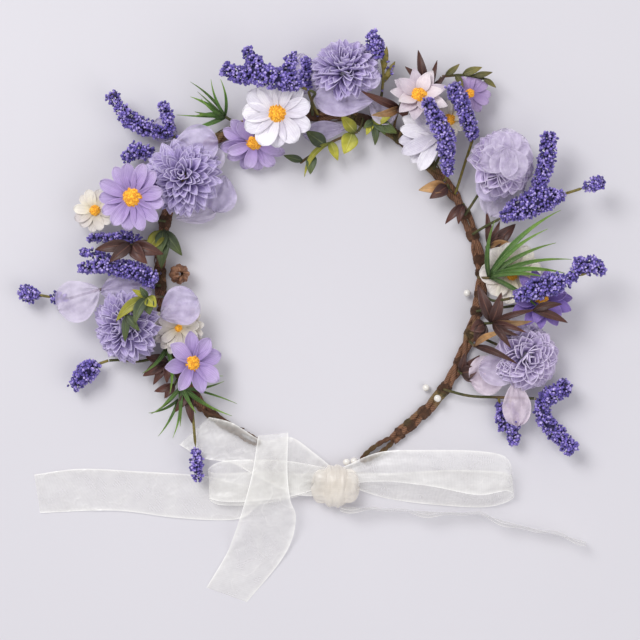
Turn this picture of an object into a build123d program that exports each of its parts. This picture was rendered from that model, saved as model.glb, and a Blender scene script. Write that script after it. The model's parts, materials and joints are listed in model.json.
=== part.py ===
"""Flower crown: a wire-cored vine band with artificial flowers, tied with an organza ribbon.

Lengths in millimetres. The crown lies on a flat surface at z = 0, faces up (+Z). The origin is
the middle of the head opening, on that surface. +Y points away from the ribbon bow.
"""
import math
import os

from build123d import *

# ---- driving dimensions -------------------------------------------------------------------
CORE_WIRE_D = 1.2
STRAND_D = 3.5  # one paper-wrapped vine strand
STRAND_SPREAD = 2.6  # centre of the core wire to the centre of each strand
TAPE_THICKNESS = 0.8  # floral tape wound over the two strands
TAPE_WIDTH = 6.0
STEM_D = 1.6  # wired stem of a flower or sprig
PETAL_THICKNESS = 1.0
CHIFFON_THICKNESS = 0.8
LEAF_THICKNESS = 0.7
RIBBON_WIDTH = 25.0
RIBBON_THICKNESS = 1.0
JOINT_GAP = 0.5  # clearance between a fixed stem and the sprig that bends on it
POMPON_STEM_DEPTH = 1.5  # how far a stem enters the back of a double flower

BAND_Z = STRAND_D / 2 + TAPE_THICKNESS + 0.1

# ---- routes of the band -------------------------------------------------------------------
# Corners of the polygon that the band rounds off, from the right eye round to the lower left
BAND_CORNERS = [
    (42, -85), (60, -70), (76, -50), (88, -17), (93, 8), (83, 45), (62, 74), (33, 98),
    (0, 103), (-38, 101), (-73, 84), (-91, 55), (-97.5, 15), (-94, -20), (-84, -50), (-73, -67),
]
# The bare arm at the left, from the split to its eye
ARM_CORNERS = [(-72.5, -67.8), (-63, -75.5), (-52, -82)]
ARM_Z = BAND_Z + 0.4


def bend_radii(points):
    """Give each corner the largest arc that its shorter run allows."""
    radii = []
    for before, corner, after in zip(points, points[1:], points[2:]):
        run_in = Vector(corner) - Vector(before)
        run_out = Vector(after) - Vector(corner)
        half_turn = math.radians(run_in.get_angle(run_out)) / 2
        radii.append(0.45 * min(run_in.length, run_out.length) / math.tan(half_turn))
    return radii


def moved_outward(points, distance, height):
    """Shift a plan route away from the middle of the opening and lift it to a height."""
    shifted = []
    for x, y in points:
        outward = Vector(x, y).normalized() * distance
        shifted.append((x + outward.X, y + outward.Y, height))
    return shifted


def route_wire(points):
    """Straight runs joined by tangent arcs."""
    with BuildLine() as route:
        if len(points) == 2:
            Line(*points)
        else:
            FilletPolyline(*points, radius=bend_radii(points))
    return route.wires()[0]


def rod(points, diameter):
    """Round rod along a route."""
    path = route_wire(points)
    with BuildPart() as bar:
        with BuildSketch(Plane(origin=path @ 0, z_dir=path % 0)):
            Circle(diameter / 2)
        sweep(path=path)
    return bar.part


def save(part, node):
    """Label a finished piece and write its file."""
    part.label = node
    export_step(part, f"parts/{node}.step")


def group(solids, node):
    """Write several separate solids as one node."""
    with BuildPart() as pieces:
        for solid in solids:
            add(solid)
    save(pieces.part, node)


def leaning(azimuth, tilt):
    """Unit vector that leans from straight up by tilt towards azimuth, in degrees."""
    a = math.radians(azimuth)
    t = math.radians(tilt)
    return Vector(math.sin(t) * math.cos(a), math.sin(t) * math.sin(a), math.cos(t))


def head_plane(centre, azimuth, tilt):
    """Plane of a flower head whose face leans towards azimuth."""
    facing = leaning(azimuth, tilt)
    across = Vector(-math.sin(math.radians(azimuth)), math.cos(math.radians(azimuth)), 0)
    return Plane(origin=centre, x_dir=across, z_dir=facing)


# ---- flower heads -------------------------------------------------------------------------
def daisy_petals(centre, radius, azimuth, tilt, count, petal_width, hub=0.3):
    """One whorl of petals joined at the hub."""
    hub_radius = radius * hub
    petal_length = radius - hub_radius / 2
    with BuildPart() as petals:
        with BuildSketch(head_plane(centre, azimuth, tilt)):
            Circle(hub_radius)
            with PolarLocations(radius - petal_length / 2, count):
                Ellipse(petal_length / 2, petal_width / 2)
        extrude(amount=PETAL_THICKNESS)
    return petals.part


def daisy_centre(centre, azimuth, tilt, radius):
    """Domed disc of florets that stands on the petals."""
    height = radius * 0.55
    face = head_plane(centre, azimuth, tilt)
    section = Plane(origin=centre, x_dir=face.x_dir, z_dir=-face.y_dir)
    with BuildPart() as dome:
        with BuildSketch(section):
            with BuildLine():
                crown = EllipticalCenterArc((0, PETAL_THICKNESS), radius, height, arc_size=78)
                flat = crown @ 1
                Polyline(flat, (0, flat.Y), (0, PETAL_THICKNESS), (radius, PETAL_THICKNESS))
            make_face()
        revolve(axis=Axis(centre, face.z_dir))
    return dome.part


def domed_head(centre, radius, height, azimuth, tilt):
    """Outer shape of a dense head, from its flat back over its widest part to its crown."""
    face = head_plane(centre, azimuth, tilt)
    section = Plane(origin=centre, x_dir=face.x_dir, z_dir=-face.y_dir)
    with BuildPart() as head:
        with BuildSketch(section):
            with BuildLine():
                crown = EllipticalCenterArc((0, height * 0.4), radius, height * 0.6, arc_size=78)
                flat = crown @ 1
                Polyline(flat, (0, flat.Y), (0, 0), (radius * 0.6, 0), (radius, height * 0.4))
            make_face()
        revolve(axis=Axis(centre, face.z_dir))
    return head.part


def chiffon_petal(centre, length, width, direction, azimuth=0, tilt=0):
    """Thin oval petal; direction turns its length in its own plane."""
    face = head_plane(centre, azimuth, tilt).rotated((0, 0, direction - azimuth - 90))
    with BuildPart() as petal:
        with BuildSketch(face):
            Ellipse(length / 2, width / 2)
        extrude(amount=CHIFFON_THICKNESS)
    return petal.part


# ---- foliage ------------------------------------------------------------------------------
def blade_edge(length, sagitta):
    """One long edge of a blade: an arc, or a straight line where it has no sagitta."""
    if abs(sagitta) < 0.05:
        Line((0, 0), (length, 0))
    else:
        SagittaArc((0, 0), (length, 0), sagitta)


def blade(root, tip, width, bow=0.0):
    """Pointed leaf or grass blade; bow curves it sideways."""
    along = Vector(tip) - Vector(root)
    side = Vector(0, 0, 1).cross(along).normalized()
    plane = Plane(origin=root, x_dir=along, z_dir=along.cross(side).normalized())
    with BuildPart() as leaf:
        with BuildSketch(plane):
            with BuildLine():
                blade_edge(along.length, bow + width / 2)
                blade_edge(along.length, bow - width / 2)
            make_face()
        extrude(amount=LEAF_THICKNESS)
    return leaf.part


def spike(points, radii):
    """Tapering spike of small florets through a few points."""
    with BuildPart() as body:
        for index, (point, radius) in enumerate(zip(points, radii)):
            ahead = Vector(points[min(index + 1, len(points) - 1)])
            behind = Vector(points[max(index - 1, 0)])
            with BuildSketch(Plane(origin=point, z_dir=ahead - behind)):
                Circle(radius)
        loft(ruled=True)
    return body.part


def sprig(stem, spikes, leaves=()):
    """Wired stem with spikes of florets and leaves fused to it."""
    with BuildPart() as whole:
        add(rod(stem, STEM_D))
        for points, radii in spikes:
            add(spike(points, radii))
        for root, tip, width, bow in leaves:
            add(blade(root, tip, width, bow))
    return whole.part


os.makedirs("parts", exist_ok=True)

# ---- band ---------------------------------------------------------------------------------
band_route = [(x, y, BAND_Z) for x, y in BAND_CORNERS]
band_line = route_wire(band_route)
STATION_COUNT = 480
stations = [band_line @ (step / STATION_COUNT) for step in range(STATION_COUNT + 1)]


def band_parameter(x, y):
    """Parameter of the band's station nearest a place in plan."""
    place = Vector(x, y, BAND_Z)
    nearest = min(range(len(stations)), key=lambda step: (stations[step] - place).length)
    return nearest / STATION_COUNT


def two_strands(corners, height, spread, diameter):
    """Two vine strands, one each side of the core wire."""
    return [rod(moved_outward(corners, side, height), diameter) for side in (-spread, spread)]


def eye_loop(start, end, width, height, slit):
    """Flattened loop of wrapped wire, open along its middle for the ribbon."""
    along = Vector(*end) - Vector(*start)
    bottom = Plane(origin=(*start, height), x_dir=along, z_dir=(0, 0, 1))
    margin = 0.16 * along.length
    with BuildPart() as eye:
        with BuildSketch(bottom):
            with BuildLine():
                SagittaArc((0, 0), (along.length, 0), width / 2)
                SagittaArc((0, 0), (along.length, 0), -width / 2)
            make_face()
            with BuildLine():
                SagittaArc((margin, 0), (along.length - margin, 0), slit / 2)
                SagittaArc((margin, 0), (along.length - margin, 0), -slit / 2)
            make_face(mode=Mode.SUBTRACT)
        extrude(amount=STRAND_D)
    return eye.part


def tape_sleeve(x, y):
    """Short sleeve of floral tape wound round both strands at the band's nearest point."""
    at = band_parameter(x, y)
    tangent = band_line % at
    plane = Plane(origin=band_line @ at, x_dir=tangent.cross(Vector(0, 0, 1)), z_dir=tangent)
    inner_width = 2 * STRAND_SPREAD + STRAND_D + 0.3
    inner_height = STRAND_D + 0.2
    with BuildPart() as sleeve:
        with BuildSketch(plane):
            SlotOverall(inner_width + 2 * TAPE_THICKNESS, inner_height + 2 * TAPE_THICKNESS)
            SlotOverall(inner_width, inner_height, mode=Mode.SUBTRACT)
        extrude(amount=TAPE_WIDTH / 2, both=True)
    return sleeve.part


save(rod(band_route, CORE_WIRE_D), "core_wire")
group(two_strands(BAND_CORNERS, BAND_Z, STRAND_SPREAD, STRAND_D), "vine_strands")
save(rod([(x, y, ARM_Z) for x, y in ARM_CORNERS], CORE_WIRE_D), "left_core_wire")
group(two_strands(ARM_CORNERS, ARM_Z, STRAND_SPREAD * 0.85, STRAND_D * 0.8), "left_vine_strands")
save(eye_loop((41, -86), (21, -99.8), 7.5, BAND_Z - STRAND_D / 2 + 0.4, 1.6), "right_eye_loop")
save(eye_loop((-51, -82.8), (-38, -89.8), 6.0, ARM_Z - STRAND_D / 2 + 0.4, 1.4), "left_eye_loop")

PEARL_RADIUS = 2.1
PEARLS = [(83, -1.7, 4), (59, -57, 2.5), (65.5, -63, 8.2), (17, -99.6, 4.4), (12.5, -100.3, 4.4)]
with BuildPart() as pearls:
    with Locations(*PEARLS):
        Sphere(PEARL_RADIUS)
save(pearls.part, "pearl_beads")

# ---- flower heads -------------------------------------------------------------------------
# node: centre of the petal whorl, radius, azimuth, tilt, petals, petal width, centre radius
DAISIES = {
    "daisy_lavender_left": ((-110, 53, 27), 21, 200, 14, 13, 7.5, 5.5),
    "daisy_lavender_top": ((-41, 86, 14), 20, -80, 28, 10, 7.5, 4.5),
    "daisy_lavender_lower_left": ((-77, -42.3, 20), 19, 10, 30, 8, 8.5, 4.5),
    "daisy_violet_right": ((124.7, -5.8, 21), 19, 80, 15, 10, 6.5, 4.0),
    "daisy_pale_top_right": ((84, 114, 10), 13, 30, 5, 12, 4.5, 3.0),
    "daisy_white_top": ((-27.3, 100.9, 27), 21, 250, 6, 10, 11, 5.0),
    "daisy_white_tall": ((54, 111.4, 22), 18, 90, 20, 8, 9, 4.5),
    "daisy_cream_right": ((108, 9, 10.5), 19, 45, 5, 8, 11, 4.0),
    "daisy_cream_small": ((72, 98.6, 14), 11, 60, 5, 8, 6, 3.5),
    "mum_cream_left": ((-84.5, -22, 12), 16, 200, 5, 14, 5, 3.5),
    "daisy_cream_back": ((-133, 46, 14), 13, 170, 5, 10, 5.5, 3.0),
}
# node: centre of the flat back, radius, height, azimuth, tilt
POMPONS = {
    "pompon_top": ((11.6, 121.5, 9), 18, 26, 90, 35),
    "pompon_left_upper": ((-81, 64, 9), 20, 23, 130, 10),
    "pompon_left_lower": ((-110.5, -19.5, 9), 19, 24, 200, 30),
    "pompon_right_upper": ((100, 71, 8), 17.5, 24, 35, 20),
    "pompon_right_lower": ((114.5, -38, 7), 17.5, 20, -20, 18),
}
# node: petals, each with its centre, length, width and direction of its length
CHIFFON = {
    "chiffon_top": [
        ((11, 110, 20), 34, 16, 0), ((24, 121, 24), 16, 11, 40), ((33, 104.5, 13), 19, 12, 140),
        ((-14.5, 126, 5), 24, 20, 90), ((0, 93, 6.5), 26, 9, 10),
    ],
    "chiffon_left_upper": [
        ((-75.4, 83, 20), 28, 18, 15), ((-68, 74, 14), 20, 16, 100), ((-61, 56, 10), 22, 16, 80),
        ((-75, 44, 8), 24, 9, 10), ((-93, 93, 6), 17, 12, 150),
    ],
    "chiffon_left_lower": [
        ((-115, 1, 13), 30, 19, 10), ((-142, -5.8, 18), 27, 19, 30), ((-84, -10, 21), 24, 18, 30),
        ((-114, -35, 5), 28, 9, 0),
    ],
    "chiffon_right_upper": [
        ((104, 77, 34.5), 29, 27, 0), ((95, 61, 13), 20, 13, 110), ((101, 54, 7), 24, 16, 70),
    ],
    "chiffon_right_lower": [
        ((95.5, -49, 12), 24, 18, 20), ((103, -46, 15), 28, 15, 0), ((111, -66, 12), 26, 13, 95),
    ],
}


def side_fan(root, radius, direction, spread, count, petal_width):
    """Petals of a flower that lies on its side, fanned out flat from its base."""
    plane = Plane(origin=root, x_dir=leaning(direction, 90), z_dir=(0, 0, 1))
    with BuildPart() as fan:
        with BuildSketch(plane):
            Circle(petal_width * 0.45)
            with PolarLocations(radius * 0.55, count, start_angle=-spread / 2, angular_range=spread):
                Ellipse(radius * 0.47, petal_width / 2)
        extrude(amount=PETAL_THICKNESS)
    return fan.part


for node, (centre, radius, azimuth, tilt, count, petal_width, _) in DAISIES.items():
    save(daisy_petals(centre, radius, azimuth, tilt, count, petal_width), node)
save(side_fan((62.5, 87, 18), 21, 180, 100, 6, 8), "daisy_white_side")
group(
    [daisy_centre(centre, azimuth, tilt, disc) for centre, _, azimuth, tilt, _, _, disc in DAISIES.values()],
    "daisy_centres",
)
for node, (centre, radius, height, azimuth, tilt) in POMPONS.items():
    save(domed_head(centre, radius, height, azimuth, tilt), node)
for node, petals in CHIFFON.items():
    group([chiffon_petal(centre, length, width, turn) for centre, length, width, turn in petals], node)

# ---- sprigs that bend on their wires --------------------------------------------------------
# Every stem starts at its bending point. A spike is a list of points and a list of radii.
save(
    sprig(
        [(-87, 89, 9), (-96, 92, 11), (-104, 94, 13)],
        [
            ([(-92, 90.7, 10), (-104, 94, 13), (-114, 99, 15), (-120, 107, 17), (-123.5, 113, 18)],
             [2.5, 4.5, 4.5, 2.5, 4]),
            ([(-90, 90, 9.6), (-91, 99, 13), (-94, 108, 16)], [1.5, 3, 2.5]),
        ],
    ),
    "lavender_left_upper",
)
save(
    sprig(
        [(-10, 114, 32.5), (-22, 118, 37), (-36, 121, 38)],
        [
            ([(-14, 115.3, 34.5), (-23, 118.8, 37.5), (-36, 121.5, 38.2), (-50, 122, 38), (-58, 126, 38)],
             [2, 5.6, 5.6, 4, 4]),
            ([(-36, 122, 37), (-41, 130, 38), (-44.5, 137, 38)], [4, 4.5, 2.5]),
            ([(-22, 118, 36.5), (-20, 127, 37), (-18, 135, 37)], [5, 4, 1.5]),
        ],
    ),
    "lavender_top_left",
)
save(
    sprig(
        [(33, 115, 14), (34, 127, 18), (31, 137, 21)],
        [([(32, 134, 20), (29, 141, 22), (26, 147, 23)], [2, 4.5, 3])],
        [((33.3, 119, 15.3), (40.5, 132, 19), 3.5, 0), ((33.9, 126, 17.7), (35.5, 140, 24), 3.5, 0)],
    ),
    "lavender_top",
)
save(
    sprig(
        [(101, 41, 13), (120, 50, 20), (139, 55.5, 21), (156, 61, 22)],
        [
            ([(103, 42, 13.7), (110, 45.5, 17), (120, 50, 20), (131, 53.5, 21), (138, 55.5, 21)],
             [2.5, 6, 7, 5.5, 1.5]),
            ([(149, 58.5, 21.6), (155, 61, 22), (160, 61.5, 22)], [1.5, 4, 3]),
            ([(120, 51, 20), (125, 66, 23), (128, 78, 24), (129, 90, 24)], [4, 4, 4.5, 3.5]),
        ],
    ),
    "lavender_right_upper",
)
save(
    sprig(
        [(106, -5, 30), (120, -1, 31), (141, 6, 31), (156, 12.5, 31)],
        [
            ([(108.5, -4.3, 30.2), (120, 0, 31), (132, 3.5, 31), (141, 6, 31)], [2, 5.5, 5.5, 2]),
            ([(140, 6, 31), (146, 14.5, 32), (153, 14.5, 32), (159, 10, 31)], [2, 4.5, 4.5, 2]),
        ],
    ),
    "lavender_right_mid",
)
save(
    sprig(
        [(122, -63, 10), (128, -64, 11), (133, -61, 12)],
        [
            ([(124.5, -63.5, 10.6), (129, -62.5, 12), (135, -58.5, 13), (141, -55, 13)], [3, 5, 4, 4.5]),
            ([(125, -64, 10.6), (127, -75, 12), (134, -83, 13), (144, -93, 13)], [3, 4.5, 4.5, 4]),
        ],
    ),
    "lavender_right_lower",
)
save(
    sprig(
        [(-149, -5, 9), (-160, -4, 9.5), (-174, -1.5, 10)],
        [
            ([(-151, -4.8, 9.1), (-155.5, -4.4, 9.3), (-160, -4, 9.5)], [1.5, 3.2, 1.5]),
            ([(-167, -3, 9.8), (-172, -2, 10), (-177, -1.2, 10)], [2, 4.8, 3]),
        ],
    ),
    "lavender_left_outer",
)
save(
    sprig(
        [(-126, -41, 8.4), (-132, -43, 9.2), (-141, -50, 10)],
        [([(-131.5, -42.9, 9.2), (-136, -45.5, 10), (-141, -50, 10), (-146.5, -56.5, 10)], [1.5, 5, 5, 3])],
    ),
    "lavender_left_lower",
)
save(
    sprig(
        [(19, 92, 9.5), (3, 86, 10.5), (-14.5, 73.7, 11.5)],
        [],
        [
            ((17.5, 91.6, 9.6), (9.5, 101.5, 12), 8, 0), ((16, 91, 9.7), (11, 79, 12), 11, 0),
            ((3, 86, 10.5), (7.5, 75, 12), 6, 0), ((0, 84, 10.7), (-11, 92, 13), 9, 0),
            ((-7.5, 78.6, 11), (-8.5, 67, 13), 7, 0), ((-13, 74.8, 11.4), (-24, 78, 13), 5, 0),
            ((-14.2, 74, 11.5), (-12, 65.5, 13), 2.5, 0),
        ],
    ),
    "eucalyptus_sprig",
)
save(
    sprig(
        [(68, 124, 11), (82, 125, 13), (95, 121.5, 14)],
        [],
        [
            ((70, 124.2, 11.3), (78, 131, 13), 4, 0), ((76, 124.6, 12.2), (80, 117, 14), 4, 0),
            ((80, 124.8, 12.7), (91, 129, 14), 5, 0), ((86, 123.8, 13.3), (97, 126, 15), 4, 0),
            ((92, 122.3, 13.8), (99, 117, 15), 3.5, 0),
        ],
    ),
    "leaf_sprig_top_right",
)
save(
    sprig(
        [(-55, 99, 8.5), (-60, 102, 9.5)],
        [],
        [
            ((-58, 100.8, 9.1), (-78, 120.5, 14), 3.5, -2), ((-58, 100.8, 9.1), (-66, 122, 15), 3, 2),
            ((-58, 100.8, 9.1), (-78, 112, 13), 4, -1), ((-58, 100.8, 9.1), (-80, 93, 11), 4, 1),
            ((-58, 100.8, 9.1), (-86, 101.5, 13), 1.5, 0),
        ],
    ),
    "grass_tuft_top_left",
)

# ---- sprigs and foliage bound fast to the band ----------------------------------------------
group(
    [
        sprig([(-84, 70, 5.2), (-94, 76, 5.8), (-102, 81, 11)],
              [([(-100, 80, 10.5), (-110, 81, 12), (-117, 76, 12)], [2.5, 4.5, 2.5])]),
        sprig([(-96.5, 10, 5), (-98, 9, 14), (-100, 7, 20)],
              [([(-98, 5.5, 21), (-107, 10, 21), (-124, 14.5, 19.5), (-142, 12.5, 17.5)], [4.5, 5, 4.5, 2.5]),
               ([(-122, 15, 19.5), (-132, 21, 19), (-141, 21.5, 18.5)], [2.5, 2.5, 2])]),
        sprig([(-95.5, 26, 5), (-102, 28, 8.5), (-110, 29.5, 11)],
              [([(-107, 29, 10.3), (-116, 30, 12), (-126, 30, 12), (-137, 30.5, 12)], [2, 4, 2.2, 2])]),
    ],
    "lavender_left_cluster",
)
group(
    [
        sprig([(-4, 102, 5), (-8, 110, 11), (-11, 120, 13.5)],
              [([(-10.7, 117, 13), (-11.5, 125, 14), (-10.5, 134, 14)], [2.5, 3, 2.5])]),
        sprig([(69.5, 63.5, 5), (70.5, 65, 13), (70.5, 71, 20)],
              [([(71, 67, 17), (69, 87, 31), (63, 98, 33.5), (57.5, 108, 34)], [2.5, 5, 4.5, 3.5])]),
        sprig([(76, 56, 5), (82, 76, 10), (86, 89, 17)],
              [([(85.7, 88, 16.5), (81, 101, 24), (73, 117, 27.5)], [3, 4.2, 4.2])]),
    ],
    "lavender_top_cluster",
)
group(
    [
        sprig([(108, -62.6, 7.5), (108.5, -70, 7)],
              [([(108.3, -66, 7.2), (109, -78, 7), (110, -90, 7)], [2, 3.5, 2.5])]),
        sprig([(101, -62.2, 6.8), (102, -68, 6.5)],
              [([(101.6, -66, 6.6), (102.5, -74, 6.5), (103, -82, 6.5)], [2, 2.8, 1.5])]),
    ],
    "lavender_right_hanging",
)
save(
    sprig([(-78.5, -59, 5.2), (-77, -72, 7), (-75, -95, 8)],
          [([(-75.1, -93, 7.9), (-74.5, -102, 9.5), (-74, -111, 9.5)], [2, 3.2, 2])]),
    "lavender_ribbon_end",
)
save(
    sprig(
        [(92, 8.7, 5.2), (87.5, 7, 14), (95.5, 7, 15.5)],
        [],
        [
            ((94.8, 7, 15.2), (136, 46, 20), 5, 5), ((94.8, 7, 15.2), (128, 35, 24), 4, 4),
            ((94.8, 7, 15.2), (133, 27, 22), 2.2, 5), ((94.8, 7, 15.2), (142, 17.5, 21.5), 1.8, 5),
        ],
    ),
    "grass_tuft_right",
)
group(
    [
        sprig([(-84, -50.5, 5), (-84.3, -53, 8), (-83, -57.5, 9.5)], [],
              [((-83.9, -54.4, 8.5), (-88.5, -86, 9.5), 4, 2), ((-83.9, -54.4, 8.5), (-97, -85, 9), 2, 4),
               ((-83.5, -55.8, 8.9), (-84, -79, 12), 3, 0), ((-83.2, -56.6, 9.2), (-51, -66, 12), 2, 2),
               ((-83.2, -56.6, 9.2), (-54, -73, 11.5), 4, -2), ((-83.2, -56.6, 9.2), (-64, -69, 12), 3, 0)]),
        sprig([(-90, -32, 5), (-92, -33, 10)], [], [((-91.8, -33, 9.5), (-90, -60, 11), 5, 2)]),
    ],
    "grass_tuft_left",
)
group(
    [
        sprig([(-95, 32, 5), (-93.5, 35, 9)], [],
              [((-94, 34, 8.2), (-95, 12.5, 12), 8, 0), ((-94, 34.5, 8.4), (-83, 20, 12), 7, 0)]),
        sprig([(27, 99.5, 5), (27.6, 98, 10.3)], [],
              [((27.6, 98.1, 9.7), (42, 91, 11.5), 7, 0), ((27.6, 98.1, 9.7), (29, 84, 10.5), 5, 1),
               ((27.6, 98.1, 9.7), (24, 90, 10.5), 4, 0)]),
        sprig([(-94.3, -4, 5), (-97, -4, 20), (-101.5, -4.5, 33)], [],
              [((-101.3, -4.5, 32.5), (-110, 0, 34), 3.5, 0),
               ((-101.3, -4.5, 32.5), (-100, -14.5, 34), 7, 0),
               ((-101.3, -4.5, 32.5), (-119, -18, 34.5), 8, -2),
               ((-113, -14.5, 34), (-114, -30, 34), 4.5, 0)]),
    ],
    "eucalyptus_leaves",
)
group(
    [
        sprig([(40, 93, 5), (41, 100, 10), (44, 108, 16)], [],
              [((43.1, 105.7, 14.3), (21.5, 113.7, 27), 5, 1), ((43.6, 107, 15.2), (47, 99, 17), 6, 0)]),
        sprig([(56, 81, 5), (58, 100, 9), (59, 120, 12)], [],
              [((58.7, 117.2, 11.6), (54, 139, 14), 4.5, 0), ((58.5, 112, 10.8), (65, 133, 14), 3.5, 0)]),
        sprig([(72.5, 59.5, 5), (71, 61, 10)], [], [((71.3, 60.7, 9), (54.5, 58, 12), 6.5, 0)]),
        sprig([(81.5, 47, 5), (80.5, 50, 8.5)], [], [((80.6, 49.6, 8.1), (70, 38.5, 9), 5, -1)]),
        sprig([(93.5, 25, 5.2), (97.5, 25, 6)], [],
              [((96.5, 25, 5.6), (111, 38.5, 7.5), 7, 0), ((96.5, 25, 5.6), (110, 25, 8), 4.5, 0),
               ((95.5, 25, 5.3), (94.2, 46, 6), 3.5, 0)]),
        sprig([(89, -19, 5), (92, -19.5, 14), (97, -19, 21)], [],
              [((96.5, -19, 20.3), (88, 3, 22), 6, 0), ((96.5, -19, 20.3), (121, -11.5, 30.5), 4, 1),
               ((119, -11.8, 30), (139, -19, 29), 5, 1), ((96.5, -19, 20.3), (118, -18, 30), 4.5, -1),
               ((96.5, -19, 20.3), (106, -33, 30), 4, 0), ((92.5, -19.5, 14.5), (86.5, -30, 15), 7, 0)]),
        sprig([(84.5, -30, 5), (86.5, -32.5, 14.5)], [], [((86.2, -32.1, 13.2), (109, -42, 30), 4.5, 1)]),
        sprig([(78, -47, 5), (80, -49, 8)], [],
              [((79.5, -48.5, 7.3), (92, -51, 9), 7, 0), ((79, -48, 6.5), (90, -38, 9), 4, 0)]),
    ],
    "brown_leaves_right",
)
group(
    [
        sprig([(-96, 20, 5), (-104, 25, 14), (-113, 26, 24)], [],
              [((-110.5, 25.7, 22), (-93, 20.5, 27), 7, 0), ((-112, 26, 23.5), (-132, 23, 26), 6, 0)]),
        sprig([(-88, -40, 5), (-92, -42, 6.5)], [],
              [((-91.5, -41.7, 6.3), (-106, -50, 8), 6, 0), ((-91.5, -41.7, 6.3), (-100, -55, 7.5), 4.5, 0)]),
        sprig([(-86, -52, 5.2), (-88, -55.5, 7)], [], [((-87.8, -55.2, 6.8), (-99.5, -59, 7), 4, 0)]),
        sprig([(-80, -57, 5), (-79, -60, 8)], [], [((-79.2, -59.5, 7.5), (-77.5, -77.5, 8), 4.5, 0)]),
    ],
    "brown_leaves_left",
)

save(domed_head((-86, 9.3, 5.5), 6, 10, 0, 20), "seed_pod")

# ---- fixed wire stems and the tape that binds them ------------------------------------------


def band_foot(x, y):
    """Middle of the band's top nearest a place in plan, just inside the tape."""
    return (band_line @ band_parameter(x, y)) + Vector(0, 0, STRAND_D / 2 + 0.3)


def head_stem(foot_place, centre, azimuth, tilt, depth):
    """Wire from the band that rises, runs out and enters a head from behind."""
    foot = band_foot(*foot_place)
    facing = leaning(azimuth, tilt)
    back = Vector(*centre)
    return rod([foot, foot + Vector(0, 0, 3.2), back - facing * 4.5, back + facing * depth], STEM_D)


# Where each head's stem leaves the band, in plan
HEAD_FEET = {
    "daisy_lavender_left": (-90, 53),
    "daisy_lavender_top": (-38, 101),
    "daisy_lavender_lower_left": (-84, -47),
    "daisy_violet_right": (91, -13),
    "daisy_pale_top_right": (64, 71),
    "daisy_white_top": (-22, 101),
    "daisy_white_tall": (44, 90),
    "daisy_cream_right": (92, 11),
    "daisy_cream_small": (59, 77),
    "mum_cream_left": (-92, -25.5),
    "daisy_cream_back": (-93, 40),
    "pompon_top": (14, 102),
    "pompon_left_upper": (-82, 68),
    "pompon_left_lower": (-94.5, -13),
    "pompon_right_upper": (82, 44),
    "pompon_right_lower": (84, -25),
}
# node of a bending sprig: where its wire leaves the band, points on the way, its bending point
BENDING_STEMS = {
    "lavender_left_upper": ((-75, 81), [(-80, 85, 7.5)], (-87, 89, 9)),
    "lavender_top_left": ((-7, 102), [(-8, 109.5, 20), (-5.2, 112.4, 30.7)], (-10, 114, 32.5)),
    "lavender_top": ((31, 97), [(32, 107, 9)], (33, 115, 14)),
    "lavender_right_upper": ((86, 33), [(93, 37, 9.5)], (101, 41, 13)),
    "lavender_right_mid": ((91.5, -2.5), [(97, -7, 20)], (106, -5, 30)),
    "lavender_right_lower": ((70, -58), [(84, -62, 6.2), (104, -62.5, 7)], (122, -63, 10)),
    "lavender_left_outer": ((-96, 3), [(-115, 4, 6), (-136, -1, 8)], (-149, -5, 9)),
    "lavender_left_lower": ((-89, -36), [(-108, -42, 6), (-119, -40.5, 7.4)], (-126, -41, 8.4)),
    "eucalyptus_sprig": ((22, 100), [(21, 95, 8.5)], (19, 92, 9.5)),
    "leaf_sprig_top_right": ((61, 75), [(64, 98, 7), (63, 117, 9)], (68, 124, 11)),
    "grass_tuft_top_left": ((-50, 96), [(-52, 97.5, 8)], (-55, 99, 8.5)),
}


def bending_stem(foot_place, on_the_way, pivot):
    """Wire from the band to a bending point, stopped short of it by the joint gap."""
    foot = band_foot(*foot_place)
    last = Vector(*on_the_way[-1])
    end = Vector(*pivot) - (Vector(*pivot) - last).normalized() * JOINT_GAP
    return rod([foot, foot + Vector(0, 0, 2.6), *[Vector(*p) for p in on_the_way], end], STEM_D)


stems = [
    head_stem(HEAD_FEET[node], centre, azimuth, tilt, PETAL_THICKNESS / 2)
    for node, (centre, _, azimuth, tilt, _, _, _) in DAISIES.items()
]
stems += [
    head_stem(HEAD_FEET[node], centre, azimuth, tilt, POMPON_STEM_DEPTH)
    for node, (centre, _, _, azimuth, tilt) in POMPONS.items()
]
stems += [bending_stem(*way) for way in BENDING_STEMS.values()]
side_foot = band_foot(60, 76)
stems.append(rod([side_foot, side_foot + Vector(0, 0, 4), (63, 85, 14), (62.5, 87, 18.5)], STEM_D))
group(stems, "flower_stems")

# Tape is wound wherever a stem joins, and over the knots of the bare vine
BARE_KNOTS = [
    (42.5, -84.8), (50, -78.5), (57.5, -71), (70, -57.5), (79, -42), (91, 18), (-96, 10), (-77, -62),
]
tape_places = [*HEAD_FEET.values(), *[way[0] for way in BENDING_STEMS.values()], *BARE_KNOTS]
group([tape_sleeve(*place) for place in tape_places], "binding_tapes")

# ---- organza ribbon -------------------------------------------------------------------------


def ribbon_strip(origin, direction, profile, width=RIBBON_WIDTH):
    """Flat ribbon that runs in one direction, over a profile of run and height."""
    lower = [(run, height) for run, height in profile]
    upper = [(run, height + RIBBON_THICKNESS) for run, height in reversed(profile)]
    run_dir = leaning(direction, 90)
    upright = Plane(origin=origin, x_dir=run_dir, z_dir=run_dir.cross(Vector(0, 0, 1)))
    with BuildPart() as strip:
        with BuildSketch(upright):
            with BuildLine():
                Polyline(*lower, *upper, close=True)
            make_face()
        extrude(amount=width / 2, both=True)
    return strip.part


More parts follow.
